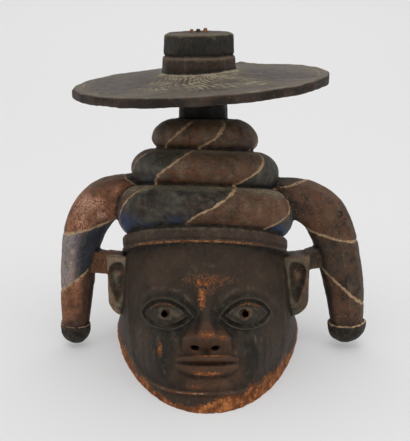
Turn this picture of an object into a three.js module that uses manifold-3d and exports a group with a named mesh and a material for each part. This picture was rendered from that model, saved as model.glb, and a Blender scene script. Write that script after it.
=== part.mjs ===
// A carved wooden helmet mask of the Gelede kind, cut from one block of wood.
// A hollow egg-shaped head leans back on its open rim. A headband, three stacked coils of
// wrapped cloth, a neck, a wide brim and a faceted crown rise from it. Two horn-shaped cloth
// ends hang from the coils, with a knob at each tip and a strut to each ear.
// Units are millimetres. +Z is up, the face looks along -Y, and the object's left hand is +X.

import * as THREE from "three";
import Module from "manifold-3d";
import { mergeVertices } from "three/addons/utils/BufferGeometryUtils.js";

// Driving sizes of the head: the rim on the ground, the headband above it, and the wall.
const rimFront = 158;
const rimBack = 120;
const rimHalfWidth = 103;
const rimWidestY = 60;
const rimShiftX = 2.8;
const headTopZ = 106;
const headTopRadius = 83;
const headSwellFront = 5;
const headSwellBack = 10;
const headSwellUp = 4;
const wall = 13;
const rimLand = 2.5;

// The headdress, level by level: height of the centre, and the lean of each level's plane.
const bandRadius = 87;
const bandHeight = 19;
const bandTilt = 27;
const bandRoll = -1;
const bandRounding = 4;
const lowCoilRadius = 93;
const lowCoilWideZ = 149;
const lowCoilTopZ = 180;
const middleCoilRadius = 76.5;
const middleCoilWideZ = 198;
const middleCoilTopZ = 220.5;
const topCoilRadius = 55;
const topCoilWideZ = 232;
const topCoilTopZ = 254;
const coilFootZ = headTopZ + bandHeight;
const coils = [
  {
    radius: lowCoilRadius, inward: 22, shoulder: 30, tilt: 18, roll: -2,
    lowZ: coilFootZ, wideZ: lowCoilWideZ, highZ: lowCoilTopZ,
  },
  {
    radius: middleCoilRadius, inward: 19, shoulder: 28, tilt: 15, roll: -2,
    lowZ: lowCoilTopZ, wideZ: middleCoilWideZ, highZ: middleCoilTopZ,
  },
  {
    radius: topCoilRadius, inward: 12, shoulder: 31, tilt: 12, roll: -1,
    lowZ: middleCoilTopZ, wideZ: topCoilWideZ, highZ: topCoilTopZ,
  },
];
const creaseAngle = 72;
const creaseOverlap = 0.98;
const neckSink = 12;
const neckRadius = 25;
const neckShiftX = -2.5;
const brimRadius = 130;
const brimThickness = 9.8;
const brimBottomZ = 284.7;
const brimRise = 9;
const brimShiftX = -4;
const brimTilt = 4.1;
const brimRoll = 3.5;
const crownFootRadius = 37;
const crownTopRadius = 34;
const crownHeight = 39;
const crownShiftX = -5.7;
const crownTilt = 5;
const crownRoll = 0.8;
const crownSides = 8;
const crownGrooveDepth = 1.6;
const crownGrooveWidth = 3;
const crownBevel = 3;
const stubRadius = 5.5;
const stubHeight = 3;
const stubHoleRadius = 2.6;
const stubHoleDepth = 9;

// The two hanging cloth ends: centre points [x, z] and radii, from inside the coil to the tip.
const hornPlaneY = 4;
const hornDepthShare = 0.92;
const rightTipX = 141;
const rightTipZ = 24;
const leftTipX = 154;
const leftTipZ = 26;
const horns = {
  right: {
    side: -1,
    points: [
      [60, 175], [84, 172], [104, 165], [rightTipX - 21, 148], [rightTipX - 11, 124],
      [rightTipX - 6.5, 98], [rightTipX - 3.5, 70], [rightTipX - 1.5, 46], [rightTipX, rightTipZ],
    ],
    radii: [20, 22, 24, 24, 22, 20, 18.6, 17.3, 14.8],
    knobRadius: 17,
    knobHeight: 21,
  },
  left: {
    side: 1,
    points: [
      [56, 169], [80, 169], [104, 164.5], [leftTipX - 30, 150], [leftTipX - 17.5, 125],
      [leftTipX - 10.5, 97], [leftTipX - 5.5, 73], [leftTipX - 2, 49], [leftTipX, leftTipZ],
    ],
    radii: [19, 21.5, 23.5, 24.5, 23.8, 22.8, 21.6, 19.8, 17.6],
    knobRadius: 21.4,
    knobHeight: 21,
  },
};

// Ears and the struts that tie them to the hanging ends. A strut's lower and upper edge each
// have a height at the ear and a height at the hanging end.
const ears = {
  right: { side: -1, outerX: 103, strutLow: [86, 89], strutHigh: [108, 115] },
  left: { side: 1, outerX: 110.5, strutLow: [91, 95], strutHigh: [111, 119] },
};
const earInnerX = 74;
const earLowZ = 39;
const earHighZ = 109;
const earFrontY = -12;
const earDepth = 22;
const earHollowDepth = 8;
const earHollowLowZ = 58;
const earHelix = 6;
const earLobeWidth = 20;
const strutDepth = 16;
const strutSetback = 2;

// The face, carved on a plane that leans back. Feature places are shares of the face's height.
const faceTilt = 28.7;
const faceHeight = 146;
const faceHalfWidth = 80;
const faceFootY = -150;
const faceFootZ = 19;
const eyeLevel = 0.54;
const eyeHalfSpacing = 39;
const eyeHalfLength = 29;
const eyeHalfHeight = 14;
const eyeBulge = 9;
const socketDepth = 5;
const lidHeight = 3;
const browHeight = 3;
const pupilRadius = 4.6;
const noseTipLevel = 0.36;
const noseRootLevel = 0.6;
const noseHeight = 18;
const noseHalfWidth = 21;
const nostrilRadius = 3.2;
const nostrilHalfSpacing = 9;
const nostrilLevel = 0.3;
const mouthLevel = 0.18;
const mouthHalfWidth = 34;
const lipHeight = 6;
const muzzleHeight = 9;
const foreheadHeight = 7;
const foreheadHalfWidth = 78;
const foreheadHalfHeight = 50;
const cheekHeight = 3;
const chinHeight = 5;
const faceEdgeHeight = 2;
const faceSink = 1.2;
const pupilStandOff = 25;
const pupilDepth = 70;
const nostrilStandOff = 22;
const nostrilDepth = 60;

// How finely the curved surfaces are divided.
const faceColumns = 44;
const backColumns = 14;
const headRows = 35;
const rowCrowding = 0.35;
const stackColumns = 34;
const coilSteps = 3;
const hornSteps = 14;
const hornSides = 12;

const radians = THREE.MathUtils.degToRad;
const lerp = THREE.MathUtils.lerp;
const wasm = await Module();
wasm.setup();

// A smooth rise from 0 to 1 as x goes from low to high.
function smooth(low, high, x) {
  const t = THREE.MathUtils.clamp((x - low) / (high - low), 0, 1);
  return t * t * (3 - 2 * t);
}

// A round swelling of height 1 with a centre and two half-widths.
function dome(x, v, cx, cv, rx, rv, power = 1.5) {
  const q = 1 - ((x - cx) / rx) ** 2 - ((v - cv) / rv) ** 2;
  return q > 0 ? q ** power : 0;
}

// A rounded ridge of height 1 across a distance d.
const ridge = (d, width) => Math.exp(-((d / width) ** 2));

// A closed solid through rings of points, each ring with as many points, bottom first.
function loft(rings) {
  const count = rings[0].length;
  const middle = (ring) => ring.reduce((sum, p) => sum.add(p), new THREE.Vector3()).divideScalar(count);
  const points = [...rings.flat(), middle(rings[0]), middle(rings.at(-1))];
  const bottom = rings.length * count;
  const faces = [];
  for (let j = 0; j < count; j += 1) {
    const k = (j + 1) % count;
    faces.push(bottom, k, j);
    faces.push(bottom + 1, bottom - count + j, bottom - count + k);
    for (let i = 0; i + 1 < rings.length; i += 1) {
      const a = i * count;
      faces.push(a + j, a + k, a + count + k);
      faces.push(a + j, a + count + k, a + count + j);
    }
  }
  const geometry = new THREE.BufferGeometry().setFromPoints(points);
  geometry.setIndex(faces);
  return geometry;
}

// A geometry as a manifold-3d solid, whichever way round its faces run.
function solid(geometry) {
  const bare = geometry.clone();
  bare.deleteAttribute("normal");
  bare.deleteAttribute("uv");
  const merged = mergeVertices(bare, 1e-4);
  const mesh = new wasm.Mesh({
    numProp: 3,
    vertProperties: Float32Array.from(merged.attributes.position.array),
    triVerts: Uint32Array.from(merged.index.array),
  });
  const made = new wasm.Manifold(mesh);
  if (made.volume() > 0) return made;
  for (let i = 0; i < mesh.triVerts.length; i += 3) {
    [mesh.triVerts[i + 1], mesh.triVerts[i + 2]] = [mesh.triVerts[i + 2], mesh.triVerts[i + 1]];
  }
  return new wasm.Manifold(mesh);
}

// Relief of an eye: a socket, the ball that fills it, and the raised rim of the lids.
function eyeRelief(side, v) {
  const ex = (side - eyeHalfSpacing) / eyeHalfLength;
  const ev = v - eyeLevel * faceHeight - 2 * ex;
  const opening = eyeHalfHeight * Math.max(0, 1 - ex * ex);
  const socket = -socketDepth * dome(ex, ev, 0, 0, 1.35, eyeHalfHeight * 1.8, 1);
  const ball = opening > 0 ? eyeBulge * dome(ex, ev, 0, 0, 1, opening, 0.7) : 0;
  const lid = lidHeight * ridge(Math.abs(ev) - opening - 2, 3) * smooth(1.3, 0.9, Math.abs(ex));
  const brow = browHeight * ridge(ev - eyeHalfHeight - 9 + 9 * ex * ex, 6) * smooth(1.5, 0.6, Math.abs(ex));
  return socket + ball + lid + brow;
}

// Relief of the nose: a ridge that rises to the tip, and the two wings beside it.
function noseRelief(side, v) {
  const tipV = noseTipLevel * faceHeight;
  const along = (v - tipV) / ((noseRootLevel - noseTipLevel) * faceHeight);
  const ends = smooth(-0.36, 0.02, along) * smooth(1.5, 0.9, along);
  const height = lerp(noseHeight, 3, smooth(-0.1, 1.1, along)) * ends;
  const width = lerp(noseHalfWidth * 0.62, noseHalfWidth * 0.42, THREE.MathUtils.clamp(along, 0, 1));
  const wing = dome(side, v, noseHalfWidth * 0.62, tipV - 3, noseHalfWidth * 0.5, 9, 0.8);
  return height * ridge(side, width) + 0.45 * noseHeight * wing;
}

// Relief of the mouth: the muzzle, two full lips and the line between them.
function mouthRelief(x, v) {
  const mouthV = mouthLevel * faceHeight;
  const share = Math.abs(x) / mouthHalfWidth;
  const full = Math.max(0, 1 - share * share) ** 0.5;
  const bend = 4 * share * share;
  const upper = lipHeight * full * ridge(v - mouthV - 7 + bend, 4.5);
  const lower = lipHeight * full * ridge(v - mouthV + 7 - bend, 5.5);
  const line = -2 * full * ridge(v - mouthV, 2.5);
  const corners = -3 * dome(Math.abs(x), v, mouthHalfWidth + 9, mouthV + 14, 13, 26, 1);
  const muzzle = muzzleHeight * dome(x, v, 0, mouthV + 3, mouthHalfWidth + 14, 34);
  return muzzle + upper + lower + line + corners;
}

// Relief of the whole face, in millimetres, at x across and v up the leaning plane.
function faceRelief(x, v) {
  const side = Math.abs(x);
  const forehead = foreheadHeight * dome(x, v, 0, 0.86 * faceHeight, foreheadHalfWidth, foreheadHalfHeight);
  const cheek = cheekHeight * dome(side, v, 52, 0.33 * faceHeight, 26, 30, 1);
  const chin = chinHeight * dome(x, v, 0, 0.02 * faceHeight, 28, 14, 1);
  return forehead + cheek + chin + eyeRelief(side, v) + noseRelief(side, v) + mouthRelief(x, v);
}

// The line of the face's edge, as a level that is 1 on it, less inside and more outside.
function faceEdge(x, v) {
  const low = v < 0.5 * faceHeight ? (0.5 * faceHeight - v) / (0.5 * faceHeight) : 0;
  return Math.abs(x / faceHalfWidth) ** 2.6 + low ** 2.6;
}

// The full carving: the relief inside the edge, and the thin raised edge itself.
function carving(x, v) {
  const edge = faceEdge(x, v);
  const inside = smooth(1.05, 0.8, edge);
  const line = faceEdgeHeight * ridge((edge - 1.05) / 0.09, 1) * smooth(faceHeight, 0.8 * faceHeight, v);
  return faceRelief(x, v) * inside + line - faceSink * inside;
}

const faceNormal = new THREE.Vector3(0, -Math.cos(radians(faceTilt)), Math.sin(radians(faceTilt)));
const faceUp = new THREE.Vector3(0, Math.sin(radians(faceTilt)), Math.cos(radians(faceTilt)));
const faceFoot = new THREE.Vector3(0, faceFootY, faceFootZ);

// The head's section at share s of the way up, inset by a distance from the outer surface.
function headSection(s, inset) {
  const topY = headTopRadius * Math.cos(radians(bandTilt));
  const topZ = headTopRadius * Math.sin(radians(bandTilt));
  const swell = Math.sin(Math.PI * s);
  const front = new THREE.Vector2(lerp(-rimFront, -topY, s), lerp(0, headTopZ + topZ, s));
  const back = new THREE.Vector2(lerp(rimBack, topY, s), lerp(0, headTopZ - topZ, s));
  front.add(new THREE.Vector2(-headSwellFront, headSwellUp).multiplyScalar(swell));
  back.add(new THREE.Vector2(headSwellBack, headSwellUp).multiplyScalar(swell));
  const axis = back.clone().sub(front);
  const length = axis.length();
  axis.normalize();
  const widest = lerp((rimWidestY + rimFront) / (rimFront + rimBack), 0.5, smooth(0, 1.1, s)) * length;
  return {
    origin: front.clone().addScaledVector(axis, widest),
    axis,
    frontReach: widest - inset,
    backReach: length - widest - inset,
    halfWidth: lerp(rimHalfWidth, headTopRadius, s ** 0.8) - inset,
    sidePower: lerp(1.68, 2.2, smooth(0, 0.4, s)) - 0.2 * smooth(0.75, 1, s),
    tipPower: lerp(0.28, 0, smooth(0, 0.4, s)),
    shift: lerp(rimShiftX, 0, s),
  };
}

// One ring of the head at angles that run from the back round the front.
function headRing(s, angles, inset, carved) {
  const section = headSection(s, inset);
  return angles.map((angle) => {
    const c = Math.cos(angle);
    const w = Math.sin(angle);
    const power = c > 0 ? section.sidePower + section.tipPower * c * c : 2;
    const reach = c > 0 ? -section.frontReach : section.backReach;
    const along = reach * Math.abs(c) ** (2 / power);
    const x = section.shift + section.halfWidth * Math.sign(w) * Math.abs(w) ** (2 / power);
    const flat = section.origin.clone().addScaledVector(section.axis, along);
    const point = new THREE.Vector3(x, flat.x, flat.y);
    if (!carved || c <= 0) return point;
    const v = point.clone().sub(faceFoot).dot(faceUp);
    const fade = smooth(0, 0.25, c) * smooth(0, 0.05, s);
    return point.addScaledVector(faceNormal, carving(x - section.shift, v) * fade);
  });
}

// Angles round the head: evenly spaced across the face, and wide apart behind.
function headAngles(front, back) {
  const reach = 0.94;
  const near = Array.from({ length: front + 1 }, (_, i) => {
    const across = lerp(-reach, reach, i / front);
    return Math.sign(across) * Math.asin(Math.abs(across) ** 1.1);
  });
  const last = near.at(-1);
  const far = Array.from({ length: back - 1 }, (_, i) => lerp(last, 2 * Math.PI - last, (i + 1) / back));
  return [...near, ...far];
}

function headOuter() {
  const angles = headAngles(faceColumns, backColumns);
  const rings = Array.from({ length: headRows + 1 }, (_, i) => {
    const t = i / headRows;
    const s = 1.03 * (t + rowCrowding * Math.sin(2 * Math.PI * t) / (2 * Math.PI));
    return headRing(s, angles, 0, true);
  });
  return loft(rings);
}

// The hollow: the head's own shape, one wall further in, closed by a rounded roof.
function headHollow() {
  const angles = headAngles(14, 14);
  const below = headRing(0, angles, rimLand * 4, false).map((p) => p.setZ(-5));
  const levels = [0, 0.2, 0.4, 0.6, 0.75, 0.86, 0.94, 0.98];
  const insets = [0, 0, 0, 1, 5, 12, 26, 44];
  const rings = levels.map((s, i) => headRing(s, angles, wall - (s === 0 ? rimLand : 0) + insets[i], false));
  return loft([below, ...rings]);
}

// A level ring of the headdress, leaning back by tilt and sideways by roll.
function level(radius, z, x, tilt, roll, sides = stackColumns, turn = 0) {
  const lean = new THREE.Euler(-radians(tilt), -radians(roll), 0);
  return Array.from({ length: sides }, (_, i) => {
    const angle = ((i + turn) / sides) * 2 * Math.PI;
    const r = typeof radius === "function" ? radius(angle) : radius;
    const point = new THREE.Vector3(r * Math.cos(angle), r * Math.sin(angle), 0);
    return point.applyEuler(lean).add(new THREE.Vector3(x, 0, z));
  });
}

// The band and the three coils, each coil a round section between two creases.
function wrappedCloth() {
  const bandRing = (inset, rise) => level(bandRadius - inset, headTopZ + rise, 0, bandTilt, bandRoll);
  const rings = [
    bandRing(bandRounding / 5, 0),
    bandRing(0, bandRounding / 2),
    bandRing(bandRounding / 4, bandHeight - bandRounding / 2),
    bandRing(bandRounding, bandHeight),
  ];
  let tilt = bandTilt;
  let roll = bandRoll;
  for (const coil of coils) {
    for (let i = -coilSteps; i <= coilSteps; i += 1) {
      const angle = radians((creaseAngle * i) / coilSteps);
      const rise = Math.sin(angle) / Math.sin(radians(creaseAngle));
      const reach = i < 0 ? coil.wideZ - coil.lowZ : coil.highZ - coil.wideZ;
      const r = coil.radius - (i < 0 ? coil.inward : coil.shoulder) * (1 - Math.cos(angle));
      const share = (rise + 1) / 2;
      const z = coil.wideZ + reach * rise * creaseOverlap;
      rings.push(level(r, z, 0, lerp(tilt, coil.tilt, share), lerp(roll, coil.roll, share)));
    }
    tilt = coil.tilt;
    roll = coil.roll;
  }
  return loft(rings);
}

function neckPost() {
  const low = topCoilTopZ - neckSink;
  return loft([
    level(neckRadius * 1.04, low, neckShiftX, coils.at(-1).tilt, 0, 12),
    level(neckRadius, brimBottomZ + brimThickness / 2, neckShiftX, brimTilt, brimRoll, 12),
  ]);
}

// The brim: a thin disc that rises gently to the crown's foot.
function brimDisc() {
  const top = brimBottomZ + brimThickness;
  const ring = (radius, z, x = brimShiftX) => level(radius, z, x, brimTilt, brimRoll);
  return loft([
    ring(brimRadius - 2, brimBottomZ),
    ring(brimRadius, brimBottomZ + 1.5),
    ring(brimRadius, top - 1),
    ring(brimRadius - 2, top),
    ring(crownFootRadius + 14, top + brimRise * 0.7),
    ring(crownFootRadius + 2, top + brimRise, crownShiftX),
  ]);
}

// The crown: two drums of flat facets with a groove between them, and a bevelled top.
function crownDrums() {
  const foot = brimBottomZ + brimThickness + brimRise - 4;
  const height = crownHeight + 4;
  const groove = foot + height * 0.52;
  const corner = Math.cos(Math.PI / crownSides) ** 0.5;
  const radiusAt = (z) => lerp(crownFootRadius, crownTopRadius, (z - foot) / height) / corner;
  const ring = (r, z, turn) => level(r, z, crownShiftX, crownTilt, crownRoll, crownSides, turn);
  const lower = loft([
    ring(radiusAt(foot), foot, 0),
    ring(radiusAt(groove), groove - crownGrooveWidth / 2, 0),
    ring(radiusAt(groove) - crownGrooveDepth * 2, groove + crownGrooveWidth, 0),
  ]);
  const upper = loft([
    ring(radiusAt(groove) - crownGrooveDepth * 2, groove - crownGrooveWidth, 0.5),
    ring(radiusAt(groove), groove + crownGrooveWidth / 2, 0.5),
    ring(radiusAt(foot + height), foot + height - crownBevel, 0.5),
    ring(radiusAt(foot + height) - crownBevel, foot + height, 0.5),
  ]);
  const core = loft([
    ring(crownFootRadius - crownGrooveDepth, foot, 0),
    ring(crownTopRadius - crownGrooveDepth, foot + height - crownBevel - 1, 0),
  ]);
  return [lower, upper, core];
}

// The broken stub of a finial in the middle of the crown's top, and the hole in it.
const crownTopZ = brimBottomZ + brimThickness + brimRise + crownHeight;
function finialStub() {
  return loft([
    level(stubRadius, crownTopZ - 3, crownShiftX, 0, 0, 10),
    level(stubRadius * 0.85, crownTopZ + stubHeight, crownShiftX, 0, 6, 10),
  ]);
}
function finialHole() {
  return loft([
    level(stubHoleRadius, crownTopZ + stubHeight - stubHoleDepth, crownShiftX, 0, 0, 8),
    level(stubHoleRadius, crownTopZ + stubHeight + 4, crownShiftX, 0, 0, 8),
  ]);
}

// A hanging cloth end: a round section swept along a smooth curve.
function hornSweep({ side, points, radii }) {
  const knots = points.map(([x, z]) => new THREE.Vector3(side * x, hornPlaneY, z));
  const curve = new THREE.CatmullRomCurve3(knots);
  const rings = Array.from({ length: hornSteps + 1 }, (_, i) => {
    const t = i / hornSteps;
    const centre = curve.getPoint(t);
    const tangent = curve.getTangent(t);
    const depth = new THREE.Vector3(0, 1, 0);
    const across = new THREE.Vector3().crossVectors(tangent, depth).normalize();
    const place = t * (radii.length - 1);
    const index = Math.min(Math.floor(place), radii.length - 2);
    const r = lerp(radii[index], radii[index + 1], place - index);
    return Array.from({ length: hornSides }, (_, j) => {
      const angle = (j / hornSides) * 2 * Math.PI;
      return centre.clone()
        .addScaledVector(across, r * Math.cos(angle))
        .addScaledVector(depth, r * hornDepthShare * Math.sin(angle));
    });
  });
  return loft(rings);
}

// The knob at a tip: a low drum with a thin lip and a rounded underside, turned as a lathe would.
function knob({ side, points, knobRadius, knobHeight }) {
  const [x, z] = points.at(-1);
  const profile = [[0, 3], [knobRadius * 0.9, 3], [knobRadius, 1], [knobRadius * 0.98, -knobHeight * 0.25]];
  for (const angle of [35, 55, 75]) {
    const a = radians(angle);
    profile.push([knobRadius * 0.98 * Math.cos(a), -knobHeight * (0.1 + 0.9 * Math.sin(a))]);
  }
  profile.push([0, -knobHeight]);
  const shape = new THREE.LatheGeometry(profile.map(([r, h]) => new THREE.Vector2(r, h)), hornSides);
  return shape.rotateX(Math.PI / 2).scale(1, hornDepthShare, 1).translate(side * x, hornPlaneY, z);
}

// An outline in the XZ plane, pushed back along Y with slightly rounded edges.
function plate(outline, frontY, depth, bevel) {
  const shape = new THREE.Shape(outline);
  const edge = { bevelEnabled: bevel > 0, bevelSize: bevel, bevelThickness: bevel, bevelSegments: 1 };
  const options = { ...edge, depth: depth - 2 * bevel, bevelOffset: -bevel };
  const geometry = new THREE.ExtrudeGeometry(shape, options);
  return geometry.rotateX(Math.PI / 2).translate(0, frontY + depth - bevel, 0);
}

// An ear outline between two heights: straight above, with a rounded lobe below.
function earOutline({ side, outerX }, inset, lowZ) {
  const lobeX = outerX - earLobeWidth;
  const points = [];
  for (let i = 0; i <= 5; i += 1) {
    const angle = radians(18 * i - 90);
    const x = lobeX + (earLobeWidth - inset) * Math.cos(angle);
    points.push([x, lowZ + earLobeWidth * (1 + Math.sin(angle))]);
  }
  points.push([outerX - inset, earHighZ - inset]);
  points.push([earInnerX, earHighZ - 3 - inset]);
  points.push([earInnerX, lowZ]);
  return points.map(([x, z]) => new THREE.Vector2(side * x, z));
}

function carveEar(ear) {
  const body = solid(plate(earOutline(ear, 0, earLowZ), earFrontY, earDepth, 2));
  const hollow = solid(plate(earOutline(ear, earHelix, earHollowLowZ), earFrontY - 5, 5 + earHollowDepth, 0));
  return body.subtract(hollow);
}

// How far out the middle of a hanging end is at a height below its bend.
function hornMiddleX({ points }, z) {
  const below = points.findIndex(([, height]) => height < z);
  const [upperX, upperZ] = points[below - 1];
  const [lowerX, lowerZ] = points[below];
  return lerp(upperX, lowerX, (upperZ - z) / (upperZ - lowerZ));
}

// A strut from inside an ear's edge to the middle of the hanging end beside it.
function strut({ side, outerX, strutLow, strutHigh }, horn) {
  const nearX = outerX - earHelix;
  const farX = hornMiddleX(horn, (strutLow[1] + strutHigh[1]) / 2);
  const nearEnd = [[nearX, strutHigh[0]], [nearX, strutLow[0]]];
  const farEnd = [[farX, strutLow[1]], [farX, strutHigh[1]]];
  const outline = [...nearEnd, ...farEnd];
  const corners = outline.map(([x, z]) => new THREE.Vector2(side * x, z));
  return solid(plate(corners, earFrontY + strutSetback, strutDepth, 1.5));
}

// A round hole along a direction, from a start point.
function drill(start, direction, radius, length) {
  const cylinder = new THREE.CylinderGeometry(radius, radius, length, 12);
  const along = direction.clone().normalize();
  const turn = new THREE.Quaternion().setFromUnitVectors(new THREE.Vector3(0, 1, 0), along);
  const middle = start.clone().addScaledVector(along, length / 2);
  return solid(cylinder.applyQuaternion(turn).translate(middle.x, middle.y, middle.z));
}

// A point on the face plane, lifted off it by a height.
function onFace(x, share, height) {
  return faceFoot.clone()
    .add(new THREE.Vector3(x, 0, 0))
    .addScaledVector(faceUp, share * faceHeight)
    .addScaledVector(faceNormal, height);
}

function carveMask() {
  let mask = solid(headOuter()).add(solid(wrappedCloth())).add(solid(neckPost())).add(solid(brimDisc()));
  for (const drum of crownDrums()) mask = mask.add(solid(drum));
  mask = mask.add(solid(finialStub())).subtract(solid(finialHole()));
  for (const horn of Object.values(horns)) mask = mask.add(solid(hornSweep(horn))).add(solid(knob(horn)));
  for (const [name, ear] of Object.entries(ears)) mask = mask.add(carveEar(ear)).add(strut(ear, horns[name]));
  mask = mask.subtract(solid(headHollow()));
  const inward = faceNormal.clone().negate();
  const upNostril = inward.clone().addScaledVector(faceUp, 0.55);
  for (const side of [-1, 1]) {
    const eye = onFace(side * eyeHalfSpacing, eyeLevel, pupilStandOff);
    const nostril = onFace(side * nostrilHalfSpacing, nostrilLevel, nostrilStandOff);
    mask = mask.subtract(drill(eye, inward, pupilRadius, pupilDepth));
    mask = mask.subtract(drill(nostril, upNostril, nostrilRadius, nostrilDepth));
  }
  return mask;
}

// The solid as a mesh, moved so that the origin is under the middle of the whole mask.
const { vertProperties, triVerts } = carveMask().getMesh();
const geometry = new THREE.BufferGeometry();
geometry.setAttribute("position", new THREE.BufferAttribute(vertProperties, 3));
geometry.setIndex(new THREE.BufferAttribute(triVerts, 1));
geometry.computeBoundingBox();
const middle = geometry.boundingBox.getCenter(new THREE.Vector3());
geometry.translate(-middle.x, -middle.y, -geometry.boundingBox.min.z);
geometry.computeVertexNormals();

const darkWood = new THREE.MeshStandardMaterial({ color: 0x3a302a, roughness: 0.72, metalness: 0 });
const mask = new THREE.Mesh(geometry, darkWood);
mask.name = "mask";

const group = new THREE.Group();
group.add(mask);
export default group;
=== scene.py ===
"""A carved wooden helmet mask of the Gelede kind, in fine detail, standing on its rim.

The mask is one block of wood. Each form is a closed loft in the carver's own frame, in millimetres,
with its carving and its paint worked out on the same grid. The lofts are fused into one skin, the
tool marks go on, and the paint is carried over from the nearest points of the lofts.
"""
import math
from itertools import product

import bmesh
import bpy
import numpy as np
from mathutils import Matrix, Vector, kdtree


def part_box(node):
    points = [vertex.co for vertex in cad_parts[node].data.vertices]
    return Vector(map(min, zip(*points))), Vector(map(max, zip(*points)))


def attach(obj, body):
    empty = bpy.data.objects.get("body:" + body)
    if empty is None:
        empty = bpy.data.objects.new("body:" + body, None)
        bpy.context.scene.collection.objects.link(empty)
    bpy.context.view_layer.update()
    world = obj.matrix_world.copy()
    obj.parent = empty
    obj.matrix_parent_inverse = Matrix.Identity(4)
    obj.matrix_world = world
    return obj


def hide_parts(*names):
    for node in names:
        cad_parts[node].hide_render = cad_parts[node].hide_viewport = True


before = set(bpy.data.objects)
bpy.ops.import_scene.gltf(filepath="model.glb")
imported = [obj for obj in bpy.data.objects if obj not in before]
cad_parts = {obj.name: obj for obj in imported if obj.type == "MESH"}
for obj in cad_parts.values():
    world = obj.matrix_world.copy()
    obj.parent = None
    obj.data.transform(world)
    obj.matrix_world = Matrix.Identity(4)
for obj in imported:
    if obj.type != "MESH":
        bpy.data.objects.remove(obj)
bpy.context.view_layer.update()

MM = 0.001
SEED = 7
VOXEL = 1.05
TRIANGLES = 190_000
# How far the skin is smoothed to find its hollows and edges, and how deep a full one is.
FINE_ROUNDS = 5
FINE_DEPTH = 0.7
EDGE_HEIGHT = 0.8
BROAD_ROUNDS = 45
BROAD_DEPTH = 1.6

# Head, in millimetres. The front of the rim, the ground and the right knob tie it to the frame.
RIM_FRONT = 158
RIM_BACK = 120
RIM_HALF_WIDTH = 103
RIM_WIDEST_Y = 60
RIM_SHIFT_X = 2.8
HEAD_TOP_Z = 106
HEAD_TOP_RADIUS = 83
WALL = 13
RIM_LAND = 2.5

# Headband, coils, neck, brim and crown.
BAND_RADIUS = 87
BAND_HEIGHT = 19
BAND_TILT = 27
BAND_ROLL = -1
COILS = [
    dict(radius=93, inward=22, shoulder=30, low=125, wide=149, high=180, tilt=18, roll=-2),
    dict(radius=76.5, inward=19, shoulder=28, low=180, wide=198, high=220.5, tilt=15, roll=-2),
    dict(radius=55, inward=12, shoulder=31, low=220.5, wide=232, high=254, tilt=12, roll=-1),
]
CREASE_ANGLE = 72
NECK_RADIUS = 25
NECK_ROOT = 12
NECK_SHIFT_X = -2.5
NECK_SIDES = 11
BRIM_RADIUS = 130.5
BRIM_THICKNESS = 9.8
BRIM_BEVEL = 1.4
BRIM_BOTTOM_Z = 284.7
BRIM_RISE = 9
BRIM_SHIFT_X = -4
BRIM_TILT = 4.1
BRIM_ROLL = 3.5
BRIM_SIDES = 23
CROWN_FOOT_RADIUS = 37
CROWN_TOP_RADIUS = 34
CROWN_HEIGHT = 39
CROWN_ROOT = 5
CROWN_FLARE = 2.4
CROWN_SHIFT_X = -5.7
CROWN_TILT = 5
CROWN_ROLL = 0.8
CROWN_CORNERS = (-124, -65, -20, 25, 70, 115, 155, 195)
CROWN_LOWER_CORNERS = (-150, -112, -80, -48, -15, 20, 60, 100, 140, 175)
CROWN_GROOVE = 0.47
CROWN_GROOVE_DEPTH = 2.4
PEG_ROOT = 4
# What is left of a finial: the pegs' places, radii and heights, and whether the wood is bare.
PEGS = ((-7.5, 3, 2.4, 3.4, True), (-1.0, 5, 2.6, 3.0, False), (6.0, 2, 2.3, 4.2, True))

# Hanging cloth ends: centre points (x, z) and radii from the coil to the tip, and two points of each
# painted line.
HORN_PLANE_Y = 4
HORN_DEPTH_SHARE = 0.92
# A painted line reaches this many of HORN_ROWS rows up and down from its middle.
HORN_LINE_ROWS = 70
HORNS = {
    "right": dict(
        side=-1,
        points=[
            (60, 175), (84, 172), (104, 165), (120, 148), (130, 124),
            (134.5, 98), (137.5, 70), (139.5, 46), (141, 24),
        ],
        radii=[20, 22, 24, 24, 22, 20, 18.6, 17.3, 14.8],
        knob_radius=17,
        knob_height=21,
        lines=[((-94, 198), (-69, 185)), ((-149, 131), (-96, 147)), ((-154, 67), (-113, 100))],
    ),
    "left": dict(
        side=1,
        points=[
            (56, 169), (80, 169), (104, 164.5), (124, 150), (136.5, 125),
            (143.5, 97), (148.5, 73), (152, 49), (154, 26),
        ],
        radii=[19, 21.5, 23.5, 24.5, 23.8, 22.8, 21.6, 19.8, 17.6],
        knob_radius=21.4,
        knob_height=21,
        lines=[((74, 182), (98, 187)), ((104, 137), (155, 124)), ((127, 90), (167, 54))],
    ),
}

# Numbers of points along the lofts and round them. The head's are across the face and round the back.
HEAD_COLUMNS = (200, 90)
HEAD_ROWS = 200
CLOTH_COLUMNS = 560
NECK_COLUMNS = 110
BRIM_COLUMNS = 760
CROWN_COLUMNS = 300
PEG_COLUMNS = 40
HORN_ROWS = 250
HORN_COLUMNS = 150
EAR_COLUMNS = 180
STRUT_COLUMNS = 60

# Ears and struts.
EARS = {
    "right": dict(side=-1, outer=103, low=(86, 89), high=(108, 115)),
    "left": dict(side=1, outer=110.5, low=(91, 95), high=(111, 119)),
}
EAR_INNER_X = 78
EAR_LOW_Z = 39
EAR_HIGH_Z = 109
EAR_FRONT_Y = -12
EAR_DEPTH = 22
EAR_LOBE_WIDTH = 20
EAR_HOLLOW_Z = 84
EAR_HOLLOW_HALF_WIDTH = 8.5
EAR_HOLLOW_ABOVE = 19
EAR_HOLLOW_BELOW = 24
FIRST_HOLLOW_STEP = 9
STRUT_OUTER_X = 130
STRUT_DEPTH = 16
STRUT_SETBACK = 3
STRUT_ROOT = 5

# Face. Levels are shares of its height up the leaning plane. The rest is in degrees and millimetres.
FACE_TILT = 28.7
FACE_HEIGHT = 146
FACE_HALF_WIDTH = 80
FACE_FOOT_Y = -150
FACE_FOOT_Z = 19
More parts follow.
